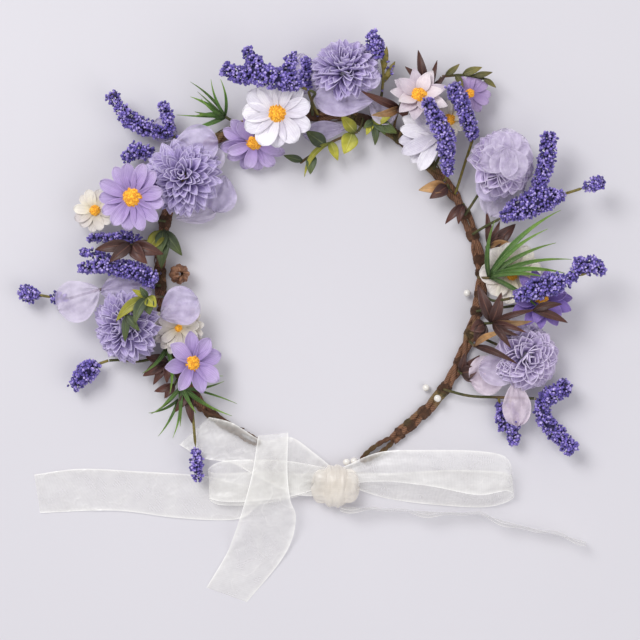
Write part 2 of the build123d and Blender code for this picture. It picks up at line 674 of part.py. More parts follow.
def ribbon_loop(origin, direction, length, height, width=RIBBON_WIDTH):
    """Flattened open loop of ribbon that starts at its origin."""
    run_dir = leaning(direction, 90)
    middle = Vector(*origin) + run_dir * (length / 2)
    upright = Plane(origin=middle, x_dir=run_dir, z_dir=run_dir.cross(Vector(0, 0, 1)))
    with BuildPart() as loop:
        with BuildSketch(upright):
            SlotOverall(length, height)
            SlotOverall(length - 2 * RIBBON_THICKNESS, height - 2 * RIBBON_THICKNESS, mode=Mode.SUBTRACT)
        extrude(amount=width / 2, both=True)
    return loop.part


with BuildPart() as ribbon_bridge:
    with BuildSketch(Plane.XY.offset(0.1)):
        with BuildLine():
            Polyline(
                (-70.8, -74), (-38.9, -89.9), (-24.4, -83), (-16.2, -91), (-4, -95.7), (3, -104),
                (-4, -119), (-14.5, -121.8), (-36.5, -109), (-55, -97.4), (-70, -99), (-85.3, -89.9),
                close=True,
            )
        make_face()
    extrude(amount=RIBBON_THICKNESS)
save(ribbon_bridge.part, "ribbon_bridge")

save(domed_head((6, -114, 0.1), 12.5, 16, 0, 0), "ribbon_knot")
save(ribbon_loop((12, -114, 9.6), 6, 95, 17, 22), "ribbon_right_loop")
save(ribbon_loop((0, -112, 7.5), 180, 68, 8), "ribbon_left_loop")
save(
    ribbon_strip((-2, -115, 0), 181, [(0, 1.6), (62, 1.6), (78, 6), (92, 1.5), (120, 0.1), (168, 0.1)], 21),
    "ribbon_left_tail",
)
save(
    ribbon_strip((-31, -89, 0), 258, [(0, 12.2), (38, 12.2), (52, 4), (64, 0.1), (92, 0.1)]),
    "ribbon_centre_tail",
)
TAIL_EDGE = [(9, -125.2), (45, -127.5), (90, -129.5), (113, -136), (152, -145.6)]
with BuildPart() as ribbon_right_tail:
    with BuildSketch(Plane.XY.offset(0.1)):
        with BuildLine():
            Polyline(*TAIL_EDGE, *[(x, y - 2.5) for x, y in reversed(TAIL_EDGE)], close=True)
        make_face()
    extrude(amount=RIBBON_WIDTH / 2)
save(ribbon_right_tail.part, "ribbon_right_tail")
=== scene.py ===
"""Flower crown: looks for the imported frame. Lengths in metres."""
import json
import math

import bmesh
import bpy
import numpy as np
from mathutils import Matrix, Vector
from mathutils.bvhtree import BVHTree


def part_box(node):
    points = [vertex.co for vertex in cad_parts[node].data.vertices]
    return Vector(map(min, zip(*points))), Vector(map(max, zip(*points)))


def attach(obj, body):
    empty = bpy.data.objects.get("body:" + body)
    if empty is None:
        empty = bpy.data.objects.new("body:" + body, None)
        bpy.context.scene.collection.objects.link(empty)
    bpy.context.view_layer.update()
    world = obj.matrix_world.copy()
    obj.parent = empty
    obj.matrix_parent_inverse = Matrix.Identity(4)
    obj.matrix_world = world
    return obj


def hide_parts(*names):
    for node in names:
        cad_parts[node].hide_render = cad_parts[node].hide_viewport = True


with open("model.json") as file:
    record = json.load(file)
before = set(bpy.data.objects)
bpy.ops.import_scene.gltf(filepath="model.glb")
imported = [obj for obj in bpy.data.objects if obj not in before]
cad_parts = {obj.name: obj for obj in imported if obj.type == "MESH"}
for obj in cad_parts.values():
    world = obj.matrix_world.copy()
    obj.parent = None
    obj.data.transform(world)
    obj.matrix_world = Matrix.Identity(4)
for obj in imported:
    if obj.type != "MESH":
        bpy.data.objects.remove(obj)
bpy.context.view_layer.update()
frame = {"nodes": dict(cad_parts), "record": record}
MM = 0.001
NODES = frame["nodes"]
BODY = {node: name for name, nodes in frame["record"]["behaviour"]["bodies"].items() for node in nodes}
UP = np.array([0.0, 0.0, 1.0])
PETAL_CLOTH = 0.3 * MM  # thickness of petals and leaves
THIN_CLOTH = 0.25 * MM
GOLDEN_ANGLE = math.pi * (3 - math.sqrt(5))
SAME_POINT = 1e-6  # corners closer than this are one corner
LEVEL = np.array([1.0, 0.0, 0.0])


def rng_for(name):
    """A random generator that gives the same numbers for the same name."""
    return np.random.default_rng(sum((place + 1) * ord(letter) for place, letter in enumerate(name)))


def unit(vector):
    vector = np.asarray(vector, float)
    return vector / max(np.linalg.norm(vector), 1e-12)


# ---- meshes ---------------------------------------------------------------------------------
class Cloth:
    """Collects small curved surfaces into one mesh, with the attributes that the materials read:
    along (0 at the root, 1 at the tip), across (-1 to 1) and seed (one random number a surface)."""

    def __init__(self):
        self.points, self.faces, self.values, self.count = [], [], [], 0

    def add(self, points, values):
        self.points.append(points.reshape(-1, 3))
        self.values.append(values.reshape(-1, 3))
        self.count += points.size // 3

    def grid(self, points, seed, closed=False):
        rows, columns = points.shape[:2]
        index = np.arange(rows * columns).reshape(rows, columns) + self.count
        quads = np.stack([index[:-1, :-1], index[1:, :-1], index[1:, 1:], index[:-1, 1:]], -1)
        self.faces.append(quads.reshape(-1, 4))
        if closed:
            self.faces.append(np.stack([index[:-1, -1], index[1:, -1], index[1:, 0], index[:-1, 0]], -1))
        along, across = np.meshgrid(np.linspace(0, 1, rows), np.linspace(-1, 1, columns), indexing="ij")
        self.add(points, np.stack([along, across, np.full_like(along, seed)], -1))

    def triangles(self, points, faces, along, seed):
        """Copies of one small faceted shape: points is (copies, corners, 3)."""
        copies, corners = points.shape[:2]
        offsets = np.arange(copies)[:, None, None] * corners + self.count
        faces = np.asarray(faces)[None] + offsets
        self.faces.append(np.concatenate([faces, faces[..., -1:]], -1).reshape(-1, 4))
        values = np.zeros((copies, corners, 3))
        values[..., 0] = along
        values[..., 2] = seed[:, None]
        self.add(points, values)

    def piece(self, name, material, body, *nodes, thickness=0.0):
        mesh = bpy.data.meshes.new(name)
        faces = [face[:3] if face[2] == face[3] else face for face in np.concatenate(self.faces).tolist()]
        mesh.from_pydata(np.concatenate(self.points).tolist(), [], faces)
        values = np.concatenate(self.values).astype(np.float32)
        for column, attribute in enumerate(("along", "across", "seed")):
            layer = mesh.attributes.new(attribute, "FLOAT", "POINT")
            layer.data.foreach_set("value", np.ascontiguousarray(values[:, column]))
        mesh.polygons.foreach_set("use_smooth", np.ones(len(mesh.polygons), bool))
        mesh.validate()
        mesh.materials.append(material)
        piece = new_object(name, mesh)
        if thickness:
            shell = piece.modifiers.new("thickness", "SOLIDIFY")
            shell.thickness = thickness
            shell.offset = 0
        place(piece, body, nodes)
        return piece


def new_object(name, data):
    made = bpy.data.objects.new(name, data)
    bpy.context.scene.collection.objects.link(made)
    return made


def place(piece, body, nodes):
    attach(piece, body)
    if nodes:
        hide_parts(*nodes)


def welded(node):
    """A node's mesh as a bmesh with its split corners joined again."""
    work = bmesh.new()
    work.from_mesh(NODES[node].data)
    bmesh.ops.remove_doubles(work, verts=work.verts, dist=SAME_POINT)
    work.faces.ensure_lookup_table()
    return work


def points_of(node):
    """The corners of a node's mesh, each once."""
    work = welded(node)
    points = np.array([vert.co for vert in work.verts])
    work.free()
    return points


def box_of(node):
    """Middle and half size of a node's box."""
    low, high = (np.array(corner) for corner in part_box(node))
    return (low + high) / 2, (high - low) / 2


def loose_parts(work):
    """Faces of each connected part of a bmesh."""
    left, parts = set(work.faces), []
    while left:
        start = min(left, key=lambda face: face.index)
        part, queue = {start}, [start]
        while queue:
            for edge in queue.pop().edges:
                for other in edge.link_faces:
                    if other not in part:
                        part.add(other)
                        queue.append(other)
        left -= part
        parts.append(sorted(part, key=lambda face: face.index))
    return parts


def flat_clusters(faces):
    """Faces grouped by the plane they lie in, as (area, centre, normal, faces), the largest first."""
    groups = {}
    for face in faces:
        if face.calc_area() > 1e-10:
            offset = face.normal.dot(face.verts[0].co)
            key = (*(round(v, 2) for v in face.normal), round(offset / (0.1 * MM)))
            groups.setdefault(key, []).append(face)
    found = []
    for members in groups.values():
        areas = np.array([face.calc_area() for face in members])
        middles = np.array([face.calc_center_median() for face in members])
        centre = (middles * areas[:, None]).sum(0) / areas.sum()
        found.append((areas.sum(), centre, np.array(members[0].normal), members))
    return sorted(found, key=lambda group: -group[0])


def corners_of(faces):
    verts = {vert.index: vert for face in faces for vert in face.verts}
    return np.array([vert.co for vert in verts.values()])


def head_of(node):
    """Centre, facing direction and radius of a flower head, read from its largest flat face."""
    work = welded(node)
    _, centre, normal, members = flat_clusters(work.faces)[0]
    radius = np.linalg.norm(corners_of(members) - centre, axis=1).max()
    work.free()
    return centre, normal * (1 if normal[2] > 0 else -1), radius


def plane_axes(normal):
    """Two directions at right angles in the plane that faces along normal."""
    first = unit(np.cross(UP, normal)) if abs(normal[2]) < 0.999 else LEVEL
    return first, np.cross(normal, first)


# ---- materials ------------------------------------------------------------------------------
class Nodes:
    """A material and short calls that add nodes to it."""

    def __init__(self, name, roughness, **sockets):
        self.material = bpy.data.materials.new(name)
        self.material.use_nodes = True
        self.tree = self.material.node_tree
        self.shader = self.tree.nodes["Principled BSDF"]
        self.shader.inputs["Roughness"].default_value = roughness
        for socket, value in sockets.items():
            self.shader.inputs[socket.replace("_", " ")].default_value = value

    def node(self, kind, **settings):
        made = self.tree.nodes.new(kind)
        for key, value in settings.items():
            setattr(made, key, value)
        return made

    def link(self, source, target):
        self.tree.links.new(source, target)

    def attribute(self, name):
        return self.node("ShaderNodeAttribute", attribute_name=name).outputs["Fac"]

    def noise(self, scale, detail=4.0):
        made = self.node("ShaderNodeTexNoise")
        made.inputs["Scale"].default_value = scale
        made.inputs["Detail"].default_value = detail
        self.link(self.node("ShaderNodeTexCoord").outputs["Object"], made.inputs["Vector"])
        return made.outputs["Fac"]

    def fill(self, sockets, values):
        """Sets each socket to a number or a colour, or links it to a node's output."""
        for socket, value in zip(sockets, values):
            if isinstance(value, (int, float)):
                socket.default_value = value
            elif isinstance(value, tuple):
                socket.default_value = (*value, 1)
            else:
                self.link(value, socket)

    def math(self, operation, *values):
        made = self.node("ShaderNodeMath", operation=operation)
        self.fill(made.inputs, values)
        return made.outputs[0]

    def times(self, first, second):
        return self.math("MULTIPLY", first, second)

    def plus(self, first, second):
        return self.math("ADD", first, second)

    def size_of(self, source):
        return self.math("ABSOLUTE", source)

    def grey(self, source):
        made = self.node("ShaderNodeRGBToBW")
        self.link(source, made.inputs[0])
        return made.outputs[0]

    def ramp(self, source, *stops):
        made = self.node("ShaderNodeValToRGB")
        band = made.color_ramp.elements
        while len(band) < len(stops):
            band.new(0.5)
        for element, (position, colour) in zip(band, stops):
            element.position = position
            element.color = (*colour, 1)
        self.link(source, made.inputs["Fac"])
        return made.outputs["Color"]

    def blend(self, factor, first, second, kind="MIX"):
        made = self.node("ShaderNodeMix", data_type="RGBA", blend_type=kind)
        self.fill((made.inputs[0], made.inputs[6], made.inputs[7]), (factor, first, second))
        return made.outputs[2]

    def tint(self, first, second):
        return self.blend(1.0, first, second, "MULTIPLY")

    def stages(self, root, middle, tip, break_at=0.5):
        """Colour from root to tip."""
        stops = (0.0, linear(root)), (break_at, linear(middle)), (1.0, linear(tip))
        return self.ramp(self.attribute("along"), *stops)

    def colour(self, source):
        self.link(source, self.shader.inputs["Base Color"])

    def bump(self, source, height, strength=1.0):
        made = self.node("ShaderNodeBump")
        made.inputs["Distance"].default_value = height
        made.inputs["Strength"].default_value = strength
        self.link(source, made.inputs["Height"])
        self.link(made.outputs["Normal"], self.shader.inputs["Normal"])

    def sheer(self, opacity):
        """Lets light through."""
        self.material.blend_method = "HASHED"
        self.link(opacity, self.shader.inputs["Alpha"])


def linear(code):
    """A colour written as six hex digits, in linear light."""
    values = [int(code[place:place + 2], 16) / 255 for place in (0, 2, 4)]
    return tuple(v / 12.92 if v <= 0.04045 else ((v + 0.055) / 1.055) ** 2.4 for v in values)


BLACK = (0.0, 0.0, 0.0)
PLAIN = (1.0, 1.0, 1.0)
PETAL_SHADOW = (0.62, 0.52, 0.72)


def petal_material(name, root, middle, tip, veins=9.0, shade=0.25):
    """Pressed cloth: colour from root to tip, fine vein creases darkened with painted shade, and a matt
    weave.
    """
    made = Nodes(name, 0.62, Sheen_Weight=0.35, Sheen_Roughness=0.5, Subsurface_Weight=0.0)
    base = made.stages(root, middle, tip, 0.45)
    wave = made.math("COSINE", made.times(made.attribute("across"), veins * math.pi))
    vein = made.math("MULTIPLY_ADD", wave, 0.5, 0.5)
    line = made.math("POWER", vein, 3.0)
    # painted shade: the colour is pulled towards PETAL_SHADOW along the vein creases, where the bump is
    # lowest
    dark = made.blend(made.times(line, shade), base, made.tint(base, PETAL_SHADOW))
    tone = made.ramp(made.attribute("seed"), (0.0, (0.80, 0.78, 0.86)), (1.0, (1.08, 1.08, 1.08)))
    mottle = made.ramp(made.noise(260.0), (0.3, (0.88, 0.86, 0.90)), (0.7, PLAIN))
    made.colour(made.tint(made.tint(dark, tone), mottle))
    made.bump(made.plus(made.times(vein, -0.7), made.noise(1400.0)), 0.12 * MM)
    return made.material


def sheer_material(name, colour, edge, opacity):
    """Crinkled chiffon: sheer in the middle, denser where it folds and along its cut edge."""
    made = Nodes(name, 0.5, Sheen_Weight=0.6, Sheen_Roughness=0.35)
    rim = made.math("POWER", made.size_of(made.attribute("across")), 6.0)
    cloud = made.noise(190.0, 6.0)
    thick = made.ramp(cloud, (0.35, BLACK), (0.75, PLAIN))
    made.colour(made.blend(rim, made.blend(thick, linear(colour), linear(edge)), linear(edge)))
    alpha = made.plus(made.times(made.grey(thick), 0.22), opacity)
    made.sheer(made.math("MINIMUM", made.plus(alpha, made.times(rim, 0.15)), 1.0))
    made.bump(made.plus(cloud, made.noise(900.0)), 0.4 * MM)
    return made.material


def leaf_material(name, root, middle, tip, rib, roughness=0.45):
    """Leaf: colour from root to tip, a lighter midrib, side veins and a little gloss."""
    made = Nodes(name, roughness, Coat_Weight=0.12, Coat_Roughness=0.35)
    base = made.stages(root, middle, tip)
    across = made.size_of(made.attribute("across"))
    midrib = made.math("MAXIMUM", made.math("SUBTRACT", 1.0, made.times(across, 9.0)), 0.0)
    slant = made.plus(made.times(made.attribute("along"), 60.0), made.times(across, -16.0))
    side_vein = made.math("POWER", made.size_of(made.math("SINE", slant)), 8.0)
    tone = made.ramp(made.attribute("seed"), (0.0, (0.62, 0.62, 0.62)), (1.0, (1.3, 1.3, 1.2)))
    veined = made.blend(made.times(side_vein, 0.22), made.tint(base, tone), linear(rib))
    mottle = made.ramp(made.noise(320.0), (0.3, (0.75, 0.75, 0.75)), (0.7, (1.1, 1.1, 1.1)))
    made.colour(made.tint(made.blend(made.times(midrib, 0.6), veined, linear(rib)), mottle))
    made.bump(made.plus(made.times(side_vein, 0.4), midrib), 0.2 * MM)
    return made.material


def bark_material(name, dark, light, patch):
    """Twisted paper wrap: long fibres, painted shade in the spiral grooves of the winding, and olive patches.
    """
    made = Nodes(name, 0.72)
    twist = made.plus(made.times(made.attribute("along"), 900.0), made.times(made.attribute("across"), 9.0))
    ridge = made.size_of(made.math("SINE", twist))
    streak = made.noise(520.0, 8.0)
    # painted shade: the colour goes dark where the ridge bump is low, in the grooves; the streaks are the
    # paper's own fibres
    fibres_and_groove_shade = made.plus(made.times(ridge, 0.45), made.times(streak, 0.7))
    base = made.ramp(fibres_and_groove_shade, (0.2, linear(dark)), (0.85, linear(light)))
    patches = made.ramp(made.noise(55.0, 3.0), (0.48, BLACK), (0.64, (0.75, 0.75, 0.75)))
    made.colour(made.blend(made.grey(patches), base, linear(patch)))
    made.bump(made.plus(made.times(ridge, 0.6), streak), 0.5 * MM)
    return made.material


def mottled_material(name, dark, light, roughness, scale=300.0, height=0.2 * MM, **sockets):
    """Plain piece whose colour and surface vary a little."""
    made = Nodes(name, roughness, **sockets)
    grain = made.noise(scale, 6.0)
    made.colour(made.ramp(grain, (0.3, linear(dark)), (0.72, linear(light))))
    made.bump(grain, height)
    return made.material


def floret_material(name, deep, mid, pale):
    """Small moulded florets: each has its own tone, with painted shade at their roots and painted highlights
    at their tips.
    """
    made = Nodes(name, 0.55, Sheen_Weight=0.25)
    tone = made.ramp(made.attribute("seed"), (0.0, linear(deep)), (0.55, linear(mid)), (1.0, linear(pale)))
    # painted shade and painted highlight: colour darkened to 0.35 at the floret roots and brightened up to
    # 1.9 times at their tips
    root_shade_tip_highlight = (0.0, (0.35, 0.33, 0.42)), (0.7, PLAIN), (1.0, (1.9, 1.85, 1.6))
    shade = made.ramp(made.attribute("along"), *root_shade_tip_highlight)
    mottle = made.ramp(made.noise(800.0), (0.3, (0.8, 0.8, 0.85)), (0.7, (1.1, 1.1, 1.1)))
    made.colour(made.tint(made.tint(tone, shade), mottle))
    return made.material


def organza_material(name, colour, edge, opacity):
    """Sheer woven ribbon: fine threads both ways, dense bright selvedges, soft folds and gloss."""
    made = Nodes(name, 0.30, Sheen_Weight=0.5, Sheen_Roughness=0.3, Specular_IOR_Level=0.7)
    across = made.attribute("across")
    rim = made.math("POWER", made.size_of(across), 14.0)
    warp = made.size_of(made.math("SINE", made.times(across, 110.0)))
    weft = made.size_of(made.math("SINE", made.times(made.attribute("along"), 420.0)))
    weave = made.times(made.plus(warp, weft), 0.5)
    crease = made.noise(75.0, 5.0)
    distance = made.size_of(made.math("SUBTRACT", made.noise(42.0, 2.5), 0.5))
    near_fold = made.math("SUBTRACT", 1.0, made.times(distance, 7.0))
    fold = made.math("POWER", made.math("MAXIMUM", near_fold, 0.0), 9.0)
    tone = made.ramp(crease, (0.3, linear(colour)), (0.7, linear(edge)))
    made.colour(made.blend(rim, tone, linear(edge)))
    alpha = made.plus(made.times(weave, 0.05), made.times(crease, 0.36))
    alpha = made.plus(made.plus(alpha, opacity), made.times(rim, 0.55))
    made.sheer(made.math("MINIMUM", made.plus(alpha, made.times(fold, 0.08)), 1.0))
    made.bump(made.plus(made.times(fold, 0.25), crease), 0.6 * MM)
    return made.material


LILAC = petal_material("petal_lilac", "9077B6", "BEA6D8", "D1C1E4", shade=0.42)
VIOLET = petal_material("petal_violet", "5E4796", "8468BC", "A58BD2")
MAUVE = petal_material("petal_mauve", "8B70A8", "B59BC9", "CDB8DC")
WHITE = petal_material("petal_white", "D8D2D6", "F7F4F6", "FDFCFC", shade=0.16)
PINK_WHITE = petal_material("petal_pink_white", "C7B6B4", "EBDDDE", "F4ECEC", shade=0.2)
CREAM = petal_material("petal_cream", "DACCA2", "EFE8D2", "F7F3E6", shade=0.2)
POM_LILAC = petal_material("pompon_lilac", "8F7CC0", "CBBCE6", "DCD2EF", veins=3.0, shade=0.3)
POM_PALE = petal_material("pompon_pale", "B3A4D2", "E0D3EF", "E9DFF3", veins=3.0, shade=0.25)
CHIFFON_LILAC = sheer_material("chiffon_lilac", "C3B5DC", "D6CBE8", 0.60)
CHIFFON_PALE = sheer_material("chiffon_pale", "CEC1DF", "DED4EA", 0.50)
CHIFFON_PINK = sheer_material("chiffon_pink", "D9C6D8", "E8DAE6", 0.58)
YELLOW = floret_material("florets_yellow", "C07C12", "E09E18", "F0BC38")
LAVENDER = floret_material("florets_lavender", "3E3280", "6B5AB2", "AEA0DC")
# painted shade: the spike cores are dark violet to stand in for the shade in the gaps between the florets
LAVENDER_CORE_SHADE = mottled_material("lavender_core", "2B2458", "4A4070", 0.7)
STEM_OLIVE = mottled_material("stem_olive", "55501F", "8A7A35", 0.6, scale=500.0)
BROWN_LEAF = leaf_material("leaf_brown", "2B1412", "482622", "5E362C", "8F5F4C", 0.42)
TAN_LEAF = leaf_material("leaf_tan", "6A4426", "A87B4E", "C29A6B", "D8B98C", 0.5)
GREEN_LEAF = leaf_material("leaf_green", "2C3A24", "445436", "66733A", "8C9860", 0.42)
LIME_LEAF = leaf_material("leaf_lime", "5A6420", "A8A528", "C2BC3A", "DAD67A", 0.42)
OLIVE_LEAF = leaf_material("leaf_olive", "4A4A24", "6E6B34", "96884A", "B6A96C", 0.5)
GRASS = leaf_material("grass", "27401C", "4F7A2E", "8DB04A", "B4CC78", 0.4)
BARK = bark_material("bark", "2F1C15", "8E6347", "7C6F42")
TAPE = bark_material("tape", "2C1B14", "7A5238", "6E6A3C")
STEM_WRAP = bark_material("stem_wrap", "33361A", "6A6A36", "7A5C3A")
WIRE = mottled_material("wire", "6C6458", "A89C8C", 0.35, scale=900.0, Metallic=1.0)
PEARL = mottled_material("pearl", "E2DDD4", "F7F4EE", 0.22, scale=200.0, height=0.05 * MM, Coat_Weight=0.8)
POD = mottled_material("pod", "5E3C2A", "A97B5C", 0.6, scale=260.0, height=0.6 * MM)
ORGANZA = organza_material("organza", "EDEBE6", "FFFEFA", 0.10)
ORGANZA_KNOT = organza_material("organza_knot", "F6EEE2", "FFFAF2", 0.32)


# ---- petals, heads and leaves ---------------------------------------------------------------
def rise(t, end):
    """Quarter of a sine wave: 0 to 1 as t goes from 0 to end, then 1."""
    return np.sin(np.minimum(t / end, 1) * math.pi / 2)


OUTLINES = {  # the share of the full width at each share of the length
    "round": lambda t: (0.38 + 0.62 * rise(t, 0.62)) * np.sqrt(1 - np.clip((t - 0.62) / 0.385, 0, 1) ** 2),
    "pointed": lambda t: np.sin(math.pi * np.clip(t, 0.03, 1) ** 0.8) ** 0.8 * (1 - 0.25 * t) + 0.02,
    "tongue": lambda t: (0.45 + 0.55 * rise(t, 0.68)) * (1 - np.clip((t - 0.55) / 0.47, 0, 1) ** 2.2),
    "fan": lambda t: np.sqrt(1 - (2 * t ** 1.25 - 1) ** 2 * 0.995) * (0.75 + 0.25 * np.minimum(t * 2, 1)),
    "blade": lambda t: np.clip(1 - t ** 1.6, 0.03, 1) * (0.65 + 0.35 * rise(t, 1 / 3)),
}


def steps(rows, columns):
    """Shares along (0 to 1) and across (-1 to 1) a grid, as a column and a row."""
    return np.linspace(0, 1, rows)[:, None], np.linspace(-1, 1, columns)[None]


def petal_grid(root, out, normal, length, width, outline, curl, cup, groove, rows, columns):
    """A petal or leaf as a grid of points. curl lifts the tip, cup lifts the edges, groove creases it."""
    side = unit(np.cross(normal, out))
    t, s = steps(rows, columns)
    half = OUTLINES[outline](t) * width / 2
    height = curl * length * t ** 2 + cup * width * s ** 2 * half / (width / 2)
    height = height - groove * width * np.cos(s * 3 * math.pi) * np.minimum(t * 2, 1) * 0.5
    spread = np.asarray(root) + t[..., None] * length * out + (s * half)[..., None] * side
    return spread + height[..., None] * normal


def turned(vector, axis, angle):
    return np.array(Matrix.Rotation(angle, 3, Vector(axis)) @ Vector(vector))


def daisy(node, material, count, width, outline="round", curl=0.04, cup=0.12, groove=0.035, second_row=0):
    """Whorl of creased petals over the CAD whorl's place, tilt and radius."""
    centre, normal, radius = head_of(node)
    random = rng_for(node)
    first, second = plane_axes(normal)
    cloth = Cloth()
    start = 0.10 * radius
    for layer, petals in enumerate((count, second_row)):
        for index in range(petals):
            angle = (index + 0.5 * layer + random.uniform(-0.16, 0.16)) / petals * 2 * math.pi
            out = math.cos(angle) * first + math.sin(angle) * second
            lean = random.uniform(-0.06, 0.08) + 0.16 * layer
            out = unit(out + lean * normal)
            length = (radius - start) * random.uniform(0.9, 1.0) * (1 - 0.18 * layer)
            twist = random.uniform(-0.16, 0.16)
            face = unit(normal - normal.dot(out) * out + twist * np.cross(out, normal))
            root = centre + normal * (0.4 + 0.5 * layer + 0.4 * (index % 2)) * MM + out * start
            wide = width * random.uniform(0.88, 1.08)
            bend = curl + random.uniform(-0.05, 0.05)
            petal = petal_grid(root, out, face, length, wide, outline, bend, cup, groove, 11, 11)
            cloth.grid(petal, random.random())
    cloth.piece(node + "_petals", material, BODY[node], node, thickness=PETAL_CLOTH)


def white_side():
    """Fan of white petals seen from the side."""
    node = "daisy_white_side"
    rim = points_of(node)
    low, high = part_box(node)
    root = np.array([high.x, (low.y + high.y) / 2, (low.z + high.z) / 2])
    radius = np.linalg.norm(rim - root, axis=1).max()
    random = rng_for(node)
    cloth = Cloth()
    for index in range(8):
        angle = math.radians(180 + (index - 3.5) * 17)
        out = unit([math.cos(angle), math.sin(angle), 0.10 * (index % 2)])
        face = unit(UP - UP.dot(out) * out)
        start = root + UP * 0.4 * MM * (index % 3)
        length = radius * random.uniform(0.86, 1.0)
        petal = petal_grid(start, out, face, length, 8.5 * MM, "round", 0.06, 0.12, 0.035, 11, 11)
        cloth.grid(petal, random.random())
    cloth.piece("daisy_white_side_petals", WHITE, BODY[node], node, thickness=PETAL_CLOTH)


def disc_of_florets(cloth, centre, normal, radius, random):
    """Dome packed with small pointed florets in a sunflower spiral."""
    first, second = plane_axes(normal)
    count = 190
    index = np.arange(count)
    spiral = index * GOLDEN_ANGLE
    reach = np.sqrt((index + 0.5) / count)
    slope = reach * 1.35
    outward = np.cos(spiral)[:, None] * first + np.sin(spiral)[:, None] * second
    facing = outward * np.sin(slope)[:, None] + normal * np.cos(slope)[:, None]
    spot = centre + outward * (reach * radius * 0.84)[:, None]
    spot = spot + normal * (radius * 0.5 * np.cos(slope))[:, None]
    grow = radius * 0.13 * random.uniform(0.8, 1.2, count)
    place_buds(cloth, spot, facing, grow, random, stretch=1.5)


BUD = np.array([[1, 0, 0], [0, 1, 0], [-1, 0, 0], [0, -1, 0], [0.75, 0.75, 0.9], [-0.75, 0.75, 0.9],
                [-0.75, -0.75, 0.9], [0.75, -0.75, 0.9], [0, 0, 1.5]], float)
BUD_FACES = [[0, 1, 4], [1, 2, 5], [2, 3, 6], [3, 0, 7], [4, 1, 5], [5, 2, 6], [6, 3, 7], [7, 0, 4],
             [4, 5, 8], [5, 6, 8], [6, 7, 8], [7, 4, 8]]
BUD_ALONG = [0.0, 0.0, 0.0, 0.0, 0.75, 0.75, 0.75, 0.75, 1.0]


def place_buds(cloth, spots, facings, sizes, random, stretch=1.0):
    """Small closed buds that stand on their spots and face outward."""
    count = len(spots)
    spin = random.uniform(0, 2 * math.pi, count)
    helper = np.where(np.abs(facings[:, 2:3]) < 0.9, UP, LEVEL)
    first = np.cross(facings, helper)
    first /= np.linalg.norm(first, axis=1)[:, None]
    second = np.cross(facings, first)
    u = np.cos(spin)[:, None] * first + np.sin(spin)[:, None] * second
    v = np.cross(facings, u)
    shape = BUD * np.array([1, 1, stretch])
    points = (shape[None, :, 0:1] * u[:, None] + shape[None, :, 1:2] * v[:, None]
              + shape[None, :, 2:3] * facings[:, None]) * sizes[:, None, None] + spots[:, None]
    cloth.triangles(points, BUD_FACES, BUD_ALONG, random.uniform(0, 1, count))


def daisy_centres():
    work = welded("daisy_centres")
    random = rng_for("daisy_centres")
    cloth = Cloth()
    for part in loose_parts(work):
        _, centre, normal, members = flat_clusters(part)[0]
        rim = np.linalg.norm(corners_of(members) - centre, axis=1).max()
        middle = corners_of(part).mean(0)
        facing = unit(middle - centre)
        normal = normal * (1 if normal.dot(facing) > 0 else -1)
        disc_of_florets(cloth, centre, normal, rim, random)
    work.free()
    cloth.piece("daisy_centre_florets", YELLOW, "band", "daisy_centres")


def pompon(node, material, count=150, width_share=0.36):
    """Double flower: folded pointed petals in a spiral from the rim to the crown."""
    work = welded(node)
    _, centre, normal, _ = flat_clusters(work.faces)[0]
    points = corners_of(work.faces)
    axis = unit(points.mean(0) - centre)
    normal = normal if normal.dot(axis) > 0 else -normal
    height = ((points - centre) @ normal).max()
    flat = points - centre - ((points - centre) @ normal)[:, None] * normal
    radius = np.linalg.norm(flat, axis=1).max()
    work.free()
    first, second = plane_axes(normal)
    random = rng_for(node)
    cloth = Cloth()
    heart = centre + normal * height * 0.30
    wide_radius = radius * 1.2
    for index in range(count):
        share = (index + 0.5) / count
        polar = math.acos(1 - 1.18 * share)
        angle = index * GOLDEN_ANGLE + random.uniform(-0.4, 0.4)
        ring = math.cos(angle) * first + math.sin(angle) * second
        out = unit(ring * math.sin(polar) * wide_radius + normal * math.cos(polar) * height * 0.72)
        reach = 1 / math.sqrt((out.dot(ring) / wide_radius) ** 2 + (out.dot(normal) / (height * 0.70)) ** 2)
        reach *= random.uniform(0.88, 1.0)
        length = reach * (0.60 + 0.2 * share)
        root = heart + out * (reach - length)
        lift = unit(normal * 0.5 - ring * 0.9)
        twist = random.uniform(-0.3, 0.3) * np.cross(out, normal + ring * 0.01)
        face = unit(lift - lift.dot(out) * out + twist)
        wide = radius * width_share * random.uniform(0.8, 1.15) * (0.7 + 0.5 * share)
        petal = petal_grid(root, out, face, length, wide, "tongue", 0.10 - 0.12 * share, 0.42, 0.03, 9, 9)
        cloth.grid(petal, random.random())
    cloth.piece(node + "_petals", material, BODY[node], node, thickness=THIN_CLOTH)


def chiffon_grid(root, out, normal, length, width, random, dome):
    """Sheer petal gathered at its root, with creases that fan out and a ruffled edge."""
    rows, columns = 28, 26
    grid = petal_grid(root, out, normal, length, width, "fan", -dome, 0.07, 0.0, rows, columns)
    t, s = steps(rows, columns)
    phase = random.uniform(0, 6, 4)
    edge = np.maximum(np.abs(s) ** 3, t ** 4)
    ruffle = 0.07 * edge * np.sin(s * 7 + t * random.uniform(5, 9) + phase[0])
    crease = 0.03 * np.sin(s * 13 + phase[1]) * (1 - t) ** 0.6 * np.minimum(t * 5, 1)
    crumple = 0.025 * np.sin(s * 7 + t * 9 + phase[2]) + 0.02 * np.sin(t * 17 - s * 5 + phase[3])
    return grid + ((ruffle + crease + crumple) * width)[..., None] * normal


VEIL_SIZE = 22 * MM  # a sheer petal wider than this is a whole blossom of smaller ones


